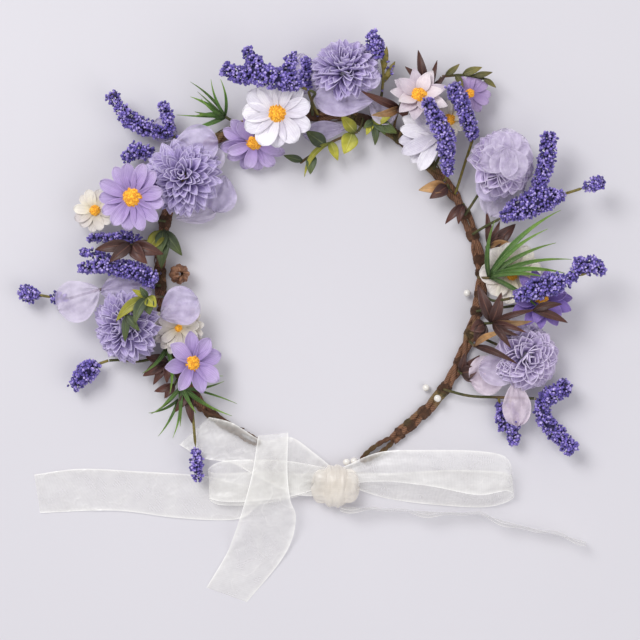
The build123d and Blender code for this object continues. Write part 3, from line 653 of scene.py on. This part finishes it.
def chiffon(node, materials):
    """Sheer petals, one over each CAD petal, rooted at the end nearest to the head they belong to."""
    work = welded(node)
    random = rng_for(node)
    head, _ = box_of(node.replace("chiffon", "pompon"))
    for number, part in enumerate(loose_parts(work)):
        _, centre, normal, members = flat_clusters(part)[0]
        normal = normal * (1 if normal[2] > 0 else -1)
        rim = corners_of(members) - centre
        _, _, axes = np.linalg.svd(rim - rim.mean(0), full_matrices=False)
        out = unit(axes[0] - axes[0].dot(normal) * normal)
        out = out * (1 if out.dot(centre - head) > 0 else -1)
        length = np.ptp(rim @ out)
        width = np.ptp(rim @ np.cross(normal, out))
        cloth = Cloth()
        if width > VEIL_SIZE:
            petals = 7
            for index in range(petals):
                aim = turned(out, normal, 2 * math.pi * (index + random.uniform(-0.2, 0.2)) / petals)
                start = centre + normal * (0.5 + 0.5 * index) * MM - aim * 0.14 * length
                size = length * random.uniform(0.60, 0.72)
                petal = chiffon_grid(start, aim, normal, size, width * 0.62, random, 0.22)
                cloth.grid(petal, random.random())
        else:
            start = centre - out * length / 2
            cloth.grid(chiffon_grid(start, out, normal, length, width * 1.3, random, 0.06), random.random())
        nodes = (node,) if number == 0 else ()
        piece = cloth.piece(f"{node}_{number}", materials[number % len(materials)], BODY[node], *nodes)
    work.free()


LEAF_LEAST_AREA = 12 * MM ** 2
LEAF_LEAST_LENGTH = 6 * MM
LEAF_LEAST_WIDTH = 1.2 * MM
LEAF_ROOT_REACH = 2.6 * MM  # the end with more corners this near is where the leaf joins its stem
LEAF_LOWEST = 0.4 * MM


def plates_of(part):
    """Leaf blades of one fused sprig, as (root, tip, normal, width, bow), and the faces of its stem."""
    points = corners_of(part)
    blades, used = [], set()
    for area, centre, normal, members in flat_clusters(part):
        if area < LEAF_LEAST_AREA or normal[2] < 0.05:
            continue
        rim = corners_of(members)
        reach = rim - centre
        _, _, axes = np.linalg.svd(reach - reach.mean(0), full_matrices=False)
        out = axes[0]
        low, high = rim[np.argmin(reach @ out)], rim[np.argmax(reach @ out)]
        length = np.linalg.norm(high - low)
        side = unit(np.cross(normal, high - low))
        sway = (rim - low) @ side
        width = np.ptp(sway)
        if length < LEAF_LEAST_LENGTH or width < LEAF_LEAST_WIDTH or length < 1.15 * width:
            continue
        near = [np.sum(np.linalg.norm(points - end, axis=1) < LEAF_ROOT_REACH) for end in (low, high)]
        bow = (sway.max() + sway.min()) / 2
        if near[0] < near[1]:
            low, high, bow = high, low, -bow
        blades.append((low, high, normal, width, bow))
        along, side = unit(high - low), unit(np.cross(normal, high - low))
        for face in part:
            corners = np.array([vert.co for vert in face.verts])
            gaps = (corners - centre) @ normal
            spots = (corners - low) @ along / length
            sways = np.abs((corners - low) @ side)
            if max(gaps) < 0.05 * MM and min(gaps) > -0.78 * MM and max(sways) < width + abs(bow):
                if min(spots) > -0.03 and max(spots) < 1.03:
                    used.add(face)
    return blades, [face for face in part if face not in used]


def stem_piece(name, faces, material, body):
    """Stems of a fused sprig as a piece of their own, with the openings where leaves joined closed."""
    work = bmesh.new()
    made = {}
    for face in faces:
        corners = []
        for vert in face.verts:
            if vert.index not in made:
                made[vert.index] = work.verts.new(vert.co)
            corners.append(made[vert.index])
        work.faces.new(corners)
    bmesh.ops.holes_fill(work, edges=work.edges, sides=0)
    bmesh.ops.recalc_face_normals(work, faces=work.faces)
    mesh = bpy.data.meshes.new(name)
    work.to_mesh(mesh)
    work.free()
    mesh.materials.append(material)
    place(new_object(name, mesh), body, ())


def foliage(node, materials, outline="pointed", fold=0.16, droop=0.06, broad=1.0, leaves_each=1):
    """Leaves or grass of a node: each CAD blade becomes a veined, folded and curved leaf."""
    work = welded(node)
    random = rng_for(node)
    leaves, stems = {}, []
    count = 0
    for part in loose_parts(work):
        blades, rest = plates_of(part)
        stems += rest
        for root, tip, normal, width, bow in blades:
            for extra in range(leaves_each):
                count += 1
                out, face = unit(tip - root), normal
                length = np.linalg.norm(tip - root) * (1 - 0.22 * extra)
                if extra:
                    out = turned(out, normal, random.choice((-1, 1)) * random.uniform(0.45, 0.8))
                    out = unit(out + 0.22 * normal)
                    face = unit(normal - normal.dot(out) * out)
                wide = max(width - abs(bow), width * 0.55) * broad
                rows, columns = 14, 7
                grid = petal_grid(root, out, face, length, wide, outline, -droop, fold, 0.0, rows, columns)
                t, _ = steps(rows, columns)
                sway = 4 * t * (1 - t) * bow + random.uniform(-0.02, 0.02) * length * np.sin(t * math.pi)
                lift = np.sin(t * math.pi) * length * droop * 1.1 + random.uniform(-0.01, 0.02) * length * t
                grid = grid + sway[..., None] * unit(np.cross(face, out)) + lift[..., None] * face
                grid[..., 2] = np.maximum(grid[..., 2], LEAF_LOWEST)
                material = materials[count % len(materials)]
                leaves.setdefault(material.name, (material, Cloth()))[1].grid(grid, random.random())
    for number, (material, cloth) in enumerate(leaves.values()):
        nodes = (node,) if number == 0 else ()
        cloth.piece(f"{node}_blades_{number}", material, BODY[node], *nodes, thickness=PETAL_CLOTH)
    if stems:
        stem_piece(node + "_stems", stems, STEM_WRAP, BODY[node])
    work.free()


# ---- lavender -------------------------------------------------------------------------------
WIRE_THICKNESS = 2.4 * MM  # a sprig is bare wire where it is no thicker than this
FLORET_SPACING = 1.15 * MM
FLORET_SIZE = 0.74 * MM


def lavender(node):
    """Florets packed on the spikes of a sprig, over a thinner core and its wire."""
    source = welded(node)
    bmesh.ops.triangulate(source, faces=source.faces)
    tree = BVHTree.FromBMesh(source)
    random = rng_for(node)
    corners = np.array([[vert.co for vert in face.verts] for face in source.faces])
    normals = np.array([face.normal for face in source.faces])
    areas = np.linalg.norm(np.cross(corners[:, 1] - corners[:, 0], corners[:, 2] - corners[:, 0]), axis=1) / 2
    wanted = int(areas.sum() / FLORET_SPACING ** 2)
    chosen = random.choice(len(areas), wanted, p=areas / areas.sum())
    weights = random.dirichlet((1, 1, 1), wanted)
    spots = (corners[chosen] * weights[..., None]).sum(1)
    facings = normals[chosen]
    keep = np.array([thickness_at(tree, *pair) > WIRE_THICKNESS for pair in zip(spots, facings)])
    spots, facings = spots[keep], facings[keep]
    facings = facings + random.normal(0, 0.35, facings.shape)
    facings /= np.linalg.norm(facings, axis=1)[:, None]
    lumps = np.sin(spots @ random.normal(0, 900, 3)) + np.sin(spots @ random.normal(0, 1400, 3))
    open_patch = random.uniform(0, 1, len(spots)) < 0.45 * (lumps < -0.9)
    spots, facings, lumps = spots[~open_patch], facings[~open_patch], lumps[~open_patch]
    spots = spots + facings * (random.uniform(-2.0, -0.1, len(spots)) + 0.5 * lumps)[:, None] * MM
    cloth = Cloth()
    sizes = FLORET_SIZE * random.uniform(0.55, 1.25, len(spots))
    place_buds(cloth, spots, facings, sizes, random, stretch=1.6)
    cloth.piece(node + "_florets", LAVENDER, BODY[node], node)
    long_edges = [edge for edge in source.edges if edge.calc_length() > 3 * MM]
    bmesh.ops.subdivide_edges(source, edges=long_edges, cuts=2)
    source.normal_update()
    # faces thicker than the wire take the dark core colour, painted shade between the florets
    for face in source.faces:
        thickness = thickness_at(tree, face.calc_center_median(), face.normal)
        face.material_index = int(thickness > WIRE_THICKNESS)
    for vert in source.verts:
        thickness = thickness_at(tree, vert.co, vert.normal)
        if thickness > WIRE_THICKNESS:
            vert.co -= vert.normal * min(0.40 * thickness, 2.6 * MM)
    mesh = bpy.data.meshes.new(node + "_core")
    source.to_mesh(mesh)
    source.free()
    mesh.polygons.foreach_set("use_smooth", np.ones(len(mesh.polygons), bool))
    mesh.materials.append(STEM_OLIVE)
    mesh.materials.append(LAVENDER_CORE_SHADE)
    place(new_object(node + "_core", mesh), BODY[node], ())


def thickness_at(tree, spot, facing):
    """How deep the solid is below a point of its surface."""
    inside = Vector(spot) - Vector(facing) * 0.02 * MM
    hit, _, _, distance = tree.ray_cast(inside, -Vector(facing), 0.05)
    return distance if hit is not None else 0.0


# ---- band -----------------------------------------------------------------------------------
BAND_START = math.radians(-64)  # a direction in the gap between the ends of the band


def band_path(node, stations):
    """Middle line of a wire tube that goes round the origin, sliced by half-planes."""
    work = welded(node)
    edges = np.array([[edge.verts[0].co, edge.verts[1].co] for edge in work.edges])
    work.free()
    turns = np.unwrap(np.arctan2(edges[..., 1], edges[..., 0]), axis=1)
    turns = (turns - BAND_START) % (2 * math.pi)
    ahead = np.abs(turns[:, 0] - turns[:, 1]) < math.pi
    edges, turns = edges[ahead], turns[ahead]
    low, high = turns.min(), turns.max()
    points = []
    for angle in np.linspace(low + 0.004, high - 0.004, stations):
        span = turns[:, 1] - turns[:, 0]
        crossing = (turns.min(1) <= angle) & (turns.max(1) >= angle) & (np.abs(span) > 1e-9)
        share = ((angle - turns[crossing, 0]) / span[crossing])[:, None]
        places = edges[crossing, 0] + share * (edges[crossing, 1] - edges[crossing, 0])
        if len(places):
            points.append((places.max(0) + places.min(0)) / 2)
    return np.array(points)


def arm_path(node, stations):
    """Middle line of a short wire tube along its longest direction."""
    points = points_of(node)
    centre = points.mean(0)
    _, _, axes = np.linalg.svd(points - centre, full_matrices=False)
    run = (points - centre) @ axes[0]
    places = []
    for middle in np.linspace(run.min() + 0.5 * MM, run.max() - 0.5 * MM, 7):
        near = np.argsort(np.abs(run - middle))[:12]
        places.append(points[near].mean(0))
    places = np.array(places)
    share = np.linspace(0, len(places) - 1, stations)
    return np.stack([np.interp(share, np.arange(len(places)), places[:, axis]) for axis in range(3)], 1)


def evened(path, step):
    """The path with points an even step apart, smoothed a little."""
    smooth = path.copy()
    for _ in range(6):
        smooth[1:-1] = (smooth[:-2] + 2 * smooth[1:-1] + smooth[2:]) / 4
    gone = np.concatenate([[0], np.cumsum(np.linalg.norm(np.diff(smooth, axis=0), axis=1))])
    marks = np.linspace(0, gone[-1], max(int(gone[-1] / step), 8))
    return np.stack([np.interp(marks, gone, smooth[:, axis]) for axis in range(3)], 1), marks


def heading(line):
    """Unit directions along a line and level across it, at each of its points."""
    tangents = np.gradient(line, axis=0)
    tangents /= np.linalg.norm(tangents, axis=1)[:, None]
    side = np.cross(tangents, UP)
    return tangents, side / np.linalg.norm(side, axis=1)[:, None]


def tube(cloth, line, radii, seed, sides=10):
    """Tube of varying radius round a line."""
    tangents, side = heading(line)
    lift = np.cross(side, tangents)
    angles = np.linspace(0, 2 * math.pi, sides, endpoint=False)
    ring = np.cos(angles)[None, :, None] * side[:, None] + np.sin(angles)[None, :, None] * lift[:, None]
    points = line[:, None] + ring * radii[:, None, None]
    cloth.grid(points, seed, closed=True)


END_OVERLAP = 4 * MM  # how far the wrap runs on over the eye at each end
TWIST_PITCH = 44 * MM
STRAND_RISE = 0.8 * MM
OVER_WRAP_RISE = 1.9 * MM
OVER_WRAP_RADIUS = 0.34 * MM


def smoothed(random, count, span):
    """Random numbers averaged over a few neighbours."""
    return np.convolve(random.normal(0, 1, count), np.ones(span) / span, "same")


def twisted_vine(name, path, body, node, strand=1.6 * MM, spread=1.95 * MM):
    """Three paper-wrapped strands twisted flat round the wire, with two thin wraps over them."""
    first = path[0] + unit(path[0] - path[4]) * END_OVERLAP
    last = path[-1] + unit(path[-1] - path[-5]) * END_OVERLAP
    line, marks = evened(np.concatenate([[first], path, [last]]), 1.2 * MM)
    random = rng_for(name)
    _, side = heading(line)
    cloth = Cloth()

    def winding(turn, reach, rise):
        return line + side * (np.cos(turn) * reach)[:, None] + UP * (np.sin(turn) * rise)[:, None]

    strands = 3
    for index in range(strands):
        phase = 2 * math.pi * index / strands + np.cumsum(random.normal(0, 0.03, len(marks)))
        turn = 2 * math.pi * marks / TWIST_PITCH + phase
        reach = spread * (1 + 0.12 * smoothed(random, len(marks), 9))
        radii = strand * (1 + 0.10 * smoothed(random, len(marks), 3).clip(-1.5, 1.5))
        radii[0] = radii[-1] = strand * 0.3
        tube(cloth, winding(turn, reach, STRAND_RISE), radii, random.random())
    for turns_apart, phase in ((0.62, 0.0), (0.95, 2.1)):
        turn = -2 * math.pi * marks / (TWIST_PITCH * turns_apart) + phase
        turn = turn + np.cumsum(random.normal(0, 0.05, len(marks)))
        over = winding(turn, spread + strand * 0.72, OVER_WRAP_RISE)
        tube(cloth, over, np.full(len(marks), OVER_WRAP_RADIUS), random.random(), sides=6)
    cloth.piece(name, BARK, body, node)


def round_angles(count):
    return np.linspace(0, 2 * math.pi, count, endpoint=False)[None]


def seed_pod():
    """Dried pod with wrinkled ribs that opens in a frill at its top."""
    centre, half = box_of("seed_pod")
    t = np.linspace(0, 1, 46)[:, None]
    angles = round_angles(72)
    belly = np.sin(math.pi * np.clip(t, 0.02, 1) ** 0.75) ** 0.6 * 0.95
    frill = 0.55 + 0.22 * np.sin(angles * 7 + 1) + 0.10 * np.sin(angles * 13)
    frill = np.exp(-((t - 0.93) / 0.08) ** 2) * frill
    ribs = 1 + 0.07 * np.sin(angles * 8 + 3 * t) + 0.03 * np.sin(angles * 19 - 6 * t)
    radius = np.maximum(belly * ribs, frill) * half[0]
    points = np.zeros((46, 72, 3))
    points[..., 0] = centre[0] + np.cos(angles) * radius + (t - 0.5) * 0.5 * half[0]
    points[..., 1] = centre[1] + np.sin(angles) * radius
    points[..., 2] = centre[2] + (2 * t - 1) * half[2] * (1 + 0.06 * np.sin(angles * 7))
    cloth = Cloth()
    cloth.grid(points, 0.5, closed=True)
    cloth.piece("seed_pod_shell", POD, "band", "seed_pod", thickness=PETAL_CLOTH)


def wrapped_eye(node, body, strand):
    """Flattened loop of wrapped wire: two strands twisted round an oval."""
    points = points_of(node)
    centre = (points.max(0) + points.min(0)) / 2
    _, _, axes = np.linalg.svd(points - points.mean(0), full_matrices=False)
    run = unit(axes[0] * np.array([1, 1, 0]))
    side = np.cross(UP, run)
    half_run = np.ptp((points - centre) @ run) / 2 - 0.6 * strand
    half_side = np.ptp((points - centre) @ side) / 2 - 0.9 * strand
    angles = np.linspace(0, 2 * math.pi, 73)
    oval = centre + np.cos(angles)[:, None] * half_run * run + np.sin(angles)[:, None] * half_side * side
    outward = np.cos(angles)[:, None] * run + np.sin(angles)[:, None] * side
    cloth = Cloth()
    for phase in (0, math.pi):
        turn = 7 * angles + phase
        twist = (np.cos(turn)[:, None] * outward + np.sin(turn)[:, None] * UP) * 0.42 * strand
        tube(cloth, oval + twist, np.full(len(oval), 0.62 * strand), phase / 4)
    cloth.piece(node + "_wrapped", BARK, body, node)


TAPE_HALF_WIDTH = 3.7 * MM
TAPE_HALF_HEIGHT = 2.65 * MM


def wound_tapes(path):
    """Floral tape wound in a spiral over the strands, one short swelling at each CAD sleeve."""
    line, marks = evened(path, 0.5 * MM)
    work = welded("binding_tapes")
    random = rng_for("binding_tapes")
    cloth = Cloth()
    for part in loose_parts(work):
        middle = corners_of(part).mean(0)
        nearest = int(np.argmin(np.linalg.norm(line - middle, axis=1)))
        half = int(random.uniform(3.0, 5.2) / 0.5)
        stretch = slice(max(nearest - half, 0), min(nearest + half, len(line) - 1))
        run = line[stretch]
        _, side = heading(run)
        share = np.linspace(-1, 1, len(run))[:, None]
        angles = round_angles(24)
        swell = 1 - 0.22 * share ** 4 - 0.10 * share ** 2
        ridge = 1 + 0.07 * ((share * 2.2 + angles / (2 * math.pi) + random.uniform(0, 1)) % 1)
        wobble = 1 + 0.04 * np.sin(angles * 3 + share * 4 + random.uniform(0, 6))
        size = swell * ridge * wobble
        ring = (np.cos(angles) * size * TAPE_HALF_WIDTH)[..., None] * side[:, None]
        ring = ring + (np.sin(angles) * size * TAPE_HALF_HEIGHT)[..., None] * UP
        points = run[:, None] + ring
        points[..., 2] = np.maximum(points[..., 2], 0.05 * MM)
        cloth.grid(points, random.random(), closed=True)
    work.free()
    cloth.piece("binding_tapes_wound", TAPE, "band", "binding_tapes")


# ---- ribbon ---------------------------------------------------------------------------------
def spline(points, share):
    """Smooth curve through points, at shares from 0 to 1 of their number."""
    points = np.asarray(points, float)
    padded = np.concatenate([[2 * points[0] - points[1]], points, [2 * points[-1] - points[-2]]])
    place = np.clip(share * (len(points) - 1), 0, len(points) - 1 - 1e-9)
    index = place.astype(int)
    t = (place - index)[:, None]
    a, b, c, d = (padded[index + step] for step in range(4))
    square, cube = 2 * a - 5 * b + 4 * c - d, 3 * b - a - 3 * c + d
    return 0.5 * (2 * b + (c - a) * t + square * t ** 2 + cube * t ** 3)


def in_box(node, spots):
    """Points given as shares of a node's box in X and Y, and a height above the floor in millimetres."""
    low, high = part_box(node)
    return [(low.x + u * (high.x - low.x), low.y + v * (high.y - low.y), z * MM) for u, v, z in spots]


RIBBON_LOWEST = 0.35 * MM


def ribbon(name, node, one_edge, other_edge, ripple, pleats, rows=90):
    """Organza between two selvedges, with soft ripples along and pleats across it."""
    random = rng_for(name)
    columns = 22
    share = np.linspace(0, 1, rows)
    first, second = (spline(in_box(node, edge), share)[:, None] for edge in (one_edge, other_edge))
    s = np.linspace(0, 1, columns)[None]
    points = first * (1 - s)[..., None] + second * s[..., None]
    phase = random.uniform(0, 6, 3)
    t = share[:, None]
    waves = np.sin(s * pleats * math.pi + phase[0] + 2 * t) * 0.6
    waves = waves + np.sin(t * 17 + s * 3 + phase[1]) * 0.5 + np.sin(t * 31 - s * 6 + phase[2]) * 0.25
    for _ in range(9):
        slant, pace, start = random.uniform(-22, 22), random.uniform(18, 75), random.uniform(0, 6)
        fold = 1 - np.abs(np.sin(t * pace / 2 + s * slant / 2 + start))
        waves = waves + 0.55 * fold ** 3 * np.sin(t * random.uniform(4, 11) + start)
    points[..., 2] = np.maximum(points[..., 2] + waves * ripple * MM, RIBBON_LOWEST)
    cloth = Cloth()
    cloth.grid(points, random.random())
    piece = cloth.piece(name, ORGANZA, "band", node)


def ribbon_pieces():
    ribbon("ribbon_bridge_organza", "ribbon_bridge",
           [(0.20, 1.00, 5), (0.36, 0.93, 9.5), (0.56, 0.72, 10), (0.74, 0.76, 9), (0.90, 0.56, 9),
            (1.02, 0.38, 8)],
           [(0.00, 0.66, 1), (0.16, 0.50, 5), (0.36, 0.44, 9), (0.56, 0.24, 9), (0.78, 0.06, 8),
            (0.96, 0.04, 7)],
           0.9, 4)
    ribbon("ribbon_right_loop_organza", "ribbon_right_loop",
           [(0.00, 0.70, 9), (0.22, 0.98, 14), (0.50, 1.02, 17), (0.80, 1.00, 16), (0.97, 0.88, 13),
            (1.01, 0.55, 8), (0.93, 0.60, 3), (0.62, 0.62, 1.5), (0.28, 0.56, 1.5), (0.06, 0.60, 5)],
           [(0.04, 0.40, 9), (0.26, 0.44, 15), (0.52, 0.36, 17.5), (0.80, 0.20, 16), (0.98, 0.26, 11),
            (1.02, 0.10, 5), (0.86, -0.06, 2), (0.56, -0.02, 1), (0.26, 0.10, 1.5), (0.04, 0.32, 5)],
           0.8, 5, rows=150)
    ribbon("ribbon_left_loop_organza", "ribbon_left_loop",
           [(1.00, 0.85, 7), (0.70, 1.00, 10), (0.40, 1.04, 11), (0.12, 1.00, 10), (0.00, 0.80, 7),
            (0.10, 0.70, 4), (0.50, 0.74, 3), (0.95, 0.66, 4)],
           [(1.00, 0.40, 7), (0.70, 0.18, 10), (0.40, 0.08, 11), (0.14, 0.06, 10), (0.01, 0.12, 7),
            (0.12, -0.04, 4), (0.50, 0.00, 3), (0.95, 0.30, 4)],
           0.6, 5, rows=110)
    ribbon("ribbon_left_tail_organza", "ribbon_left_tail",
           [(0.00, 0.86, 0.6), (0.16, 1.00, 1.0), (0.36, 0.94, 1.0), (0.60, 0.82, 1.0), (0.745, 0.60, 2.5),
            (0.80, 0.72, 4), (0.90, 0.86, 3), (1.02, 0.95, 3.2)],
           [(0.02, -0.08, 0.6), (0.28, -0.02, 1.0), (0.50, -0.20, 1.0), (0.70, -0.24, 1.0), (0.775, 0.10, 6),
            (0.82, 0.36, 6), (0.92, 0.44, 3), (1.02, 0.20, 3.2)],
           0.35, 4, rows=130)
    ribbon("ribbon_centre_tail_organza", "ribbon_centre_tail",
           [(0.54, 1.02, 12), (0.47, 0.81, 12.5), (0.39, 0.66, 12.5), (0.30, 0.52, 11), (0.20, 0.39, 6),
            (0.10, 0.28, 1.5), (-0.16, 0.08, 0.8)],
           [(0.94, 1.04, 12), (0.93, 0.80, 12.5), (0.97, 0.63, 12.5), (1.04, 0.53, 9), (0.99, 0.38, 4),
            (0.80, 0.22, 1.5), (0.38, -0.01, 0.8)],
           0.5, 4)
    folded_tail("ribbon_right_tail_organza", "ribbon_right_tail")
    knot("ribbon_knot_organza", "ribbon_knot")


def folded_tail(name, node):
    """Tail folded lengthwise that stands on its fold: both selvedges are at the top."""
    random = rng_for(name)
    points = points_of(node)
    low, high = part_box(node)
    rows, columns = 130, 15
    foot = points[points[:, 2] < low.z + 0.2 * MM]
    order = foot[np.argsort(foot[:, 0])]
    run = np.linspace(low.x, high.x, rows)
    halves = [np.interp(run, order[start::2, 0], order[start::2, 1]) * 0.5 for start in (0, 1)]
    line = np.stack([run, halves[0] + halves[1], np.zeros(rows)], 1)
    across = np.linspace(-1, 1, columns)
    _, side = heading(line)
    t = np.linspace(0, 1, rows)
    lean = 1.2 * np.sin(t * 19 + 1) + 0.7 * np.sin(t * 41)
    top = (high.z - low.z) * (0.92 + 0.06 * np.sin(t * 23))
    height = 0.4 * MM + np.abs(across)[None] * top[:, None]
    sideways = across[None] * 0.9 * MM + (lean[:, None] * np.abs(across)[None] ** 2) * MM
    grid = line[:, None] + side[:, None] * sideways[..., None] + UP * height[..., None]
    cloth = Cloth()
    cloth.grid(grid, random.random())
    piece = cloth.piece(name, ORGANZA, "band", node)


def knot(name, node):
    """Gathered bundle of ribbon with a pleated wrap round its middle."""
    centre, half = box_of(node)
    angles = round_angles(120)
    cloth = Cloth()
    for reach, rows, girth, flare in ((1.08, 60, 0.86, 0.18), (0.62, 44, 1.0, 0.0)):
        run = np.linspace(-1, 1, rows)[:, None]
        close = np.sqrt(np.clip(1 - np.abs(run) ** (6 if flare else 4), 0.03, 1))
        if flare:
            pleat = 0.05 * np.abs(run) * np.sin(angles * 7 + run * 2) + 0.02 * np.sin(angles * 15 - run * 3)
        else:
            pleat = 0.035 * np.sin(run * 9 + angles * 2) + 0.012 * np.sin(run * 21 - angles * 3)
        radius = girth * close * (1 + pleat) * (1 + flare * (run ** 2 - 0.6))
        points = np.zeros((rows, angles.shape[1], 3))
        points[..., 0] = centre[0] + run * half[0] * reach + 0.06 * half[0] * np.sin(angles * 2)
        points[..., 1] = centre[1] + np.cos(angles) * radius * half[1] * 0.98
        points[..., 2] = np.maximum(centre[2] + np.sin(angles) * radius * half[2] * 0.98, 0.3 * MM)
        cloth.grid(points, 0.5, closed=True)
    piece = cloth.piece(name, ORGANZA_KNOT, "band", node)


# ---- the crown ------------------------------------------------------------------------------
daisy("daisy_lavender_left", LILAC, 13, 8.6 * MM, curl=0.06, cup=0.2, groove=0.05)
daisy("daisy_lavender_top", LILAC, 12, 8.2 * MM, curl=-0.08, cup=0.2, groove=0.05, second_row=5)
daisy("daisy_lavender_lower_left", LILAC, 8, 9.5 * MM, "tongue", curl=0.08, cup=0.2, groove=0.05)
daisy("daisy_violet_right", VIOLET, 11, 7.5 * MM, "tongue", cup=0.2, groove=0.05, second_row=6)
daisy("daisy_pale_top_right", MAUVE, 12, 5.5 * MM)
daisy("daisy_white_top", WHITE, 11, 12 * MM, curl=0.07, groove=0.045)
daisy("daisy_white_tall", PINK_WHITE, 9, 10 * MM, "pointed", curl=0.12, second_row=5)
daisy("daisy_cream_right", CREAM, 9, 13 * MM, curl=0.08)
daisy("daisy_cream_small", CREAM, 8, 7 * MM)
daisy("mum_cream_left", CREAM, 18, 5.5 * MM, curl=0.12, second_row=12)
daisy("daisy_cream_back", CREAM, 12, 6.5 * MM)
daisy_centres()
for node in ("pompon_top", "pompon_left_upper", "pompon_left_lower"):
    pompon(node, POM_LILAC)
for node in ("pompon_right_upper", "pompon_right_lower"):
    pompon(node, POM_PALE, 84, 0.62)
chiffon("chiffon_top", (CHIFFON_LILAC, CHIFFON_LILAC, CHIFFON_PALE))
chiffon("chiffon_left_upper", (CHIFFON_LILAC, CHIFFON_PALE))
chiffon("chiffon_left_lower", (CHIFFON_PALE, CHIFFON_LILAC))
chiffon("chiffon_right_upper", (CHIFFON_PALE, CHIFFON_LILAC))
chiffon("chiffon_right_lower", (CHIFFON_PINK, CHIFFON_PALE))
for node in NODES:
    if node.startswith("lavender_"):
        lavender(node)
BROWN = {"fold": 0.2, "droop": 0.1, "broad": 1.3, "leaves_each": 2}
foliage("brown_leaves_right", (BROWN_LEAF,) * 6 + (TAN_LEAF,), **BROWN)
foliage("brown_leaves_left", (BROWN_LEAF,), **BROWN)
foliage("eucalyptus_leaves", (GREEN_LEAF, LIME_LEAF, GREEN_LEAF), broad=1.15, leaves_each=2)
foliage("eucalyptus_sprig", (GREEN_LEAF, LIME_LEAF))
foliage("leaf_sprig_top_right", (OLIVE_LEAF,))
for node in ("grass_tuft_top_left", "grass_tuft_right", "grass_tuft_left"):
    foliage(node, (GRASS,), "blade", 0.22, 0.03, leaves_each=2)
BAND = band_path("core_wire", 420)
LEFT_ARM = arm_path("left_core_wire", 30)
twisted_vine("vine_strands_twisted", BAND, "band", "vine_strands")
twisted_vine("left_vine_twisted", LEFT_ARM, "left_arm", "left_vine_strands", 1.3 * MM, 1.9 * MM)
wound_tapes(BAND)
wrapped_eye("right_eye_loop", "band", 1.5 * MM)
wrapped_eye("left_eye_loop", "left_arm", 1.2 * MM)
seed_pod()
ribbon_pieces()
white_side()
KEPT = {
    "core_wire": WIRE, "left_core_wire": WIRE,
    "pearl_beads": PEARL, "flower_stems": STEM_WRAP,
}
for node, material in KEPT.items():
    NODES[node].data.materials.clear()
    NODES[node].data.materials.append(material)

# ---- floor, light and camera ----------------------------------------------------------------
VIEW_WIDTH = 0.3712  # the width of the picture at the crown
VIEW_CENTRE = (-0.0029, -0.0174)
CAMERA_HEIGHT = 1.25
FLOWER_HEIGHT = 0.012


FLOOR = mottled_material("floor", "D5D3D8", "D9D7DC", 0.9, scale=3.0, height=0.0)
SENSOR = 36


def floor():
    """Plain pale floor."""
    bpy.ops.mesh.primitive_plane_add(size=6, location=(0, 0, 0))
    ground = bpy.context.object
    ground.name = "floor"
    ground.data.materials.append(FLOOR)


def light(name, location, size, power):
    lamp = bpy.data.lights.new(name, "AREA")
    lamp.size = size
    lamp.energy = power
    holder = new_object(name, lamp)
    holder.location = location
    holder.rotation_euler = (-Vector(location)).to_track_quat("-Z", "Y").to_euler()


floor()
light("key", (-0.9, 0.9, 1.7), 1.0, 26)
light("fill", (1.2, -0.6, 1.5), 1.6, 10)
world = bpy.data.worlds.new("studio")
world.use_nodes = True
background = world.node_tree.nodes["Background"]
background.inputs["Color"].default_value = (0.97, 0.96, 1.0, 1)
background.inputs["Strength"].default_value = 0.55
bpy.context.scene.world = world
bpy.context.scene.view_settings.view_transform = "Standard"

camera = new_object("camera", bpy.data.cameras.new("camera"))
camera.location = (*VIEW_CENTRE, CAMERA_HEIGHT)
camera.data.sensor_width = SENSOR
camera.data.lens = SENSOR * (CAMERA_HEIGHT - FLOWER_HEIGHT) / VIEW_WIDTH
bpy.context.scene.camera = camera

bpy.context.view_layer.update()
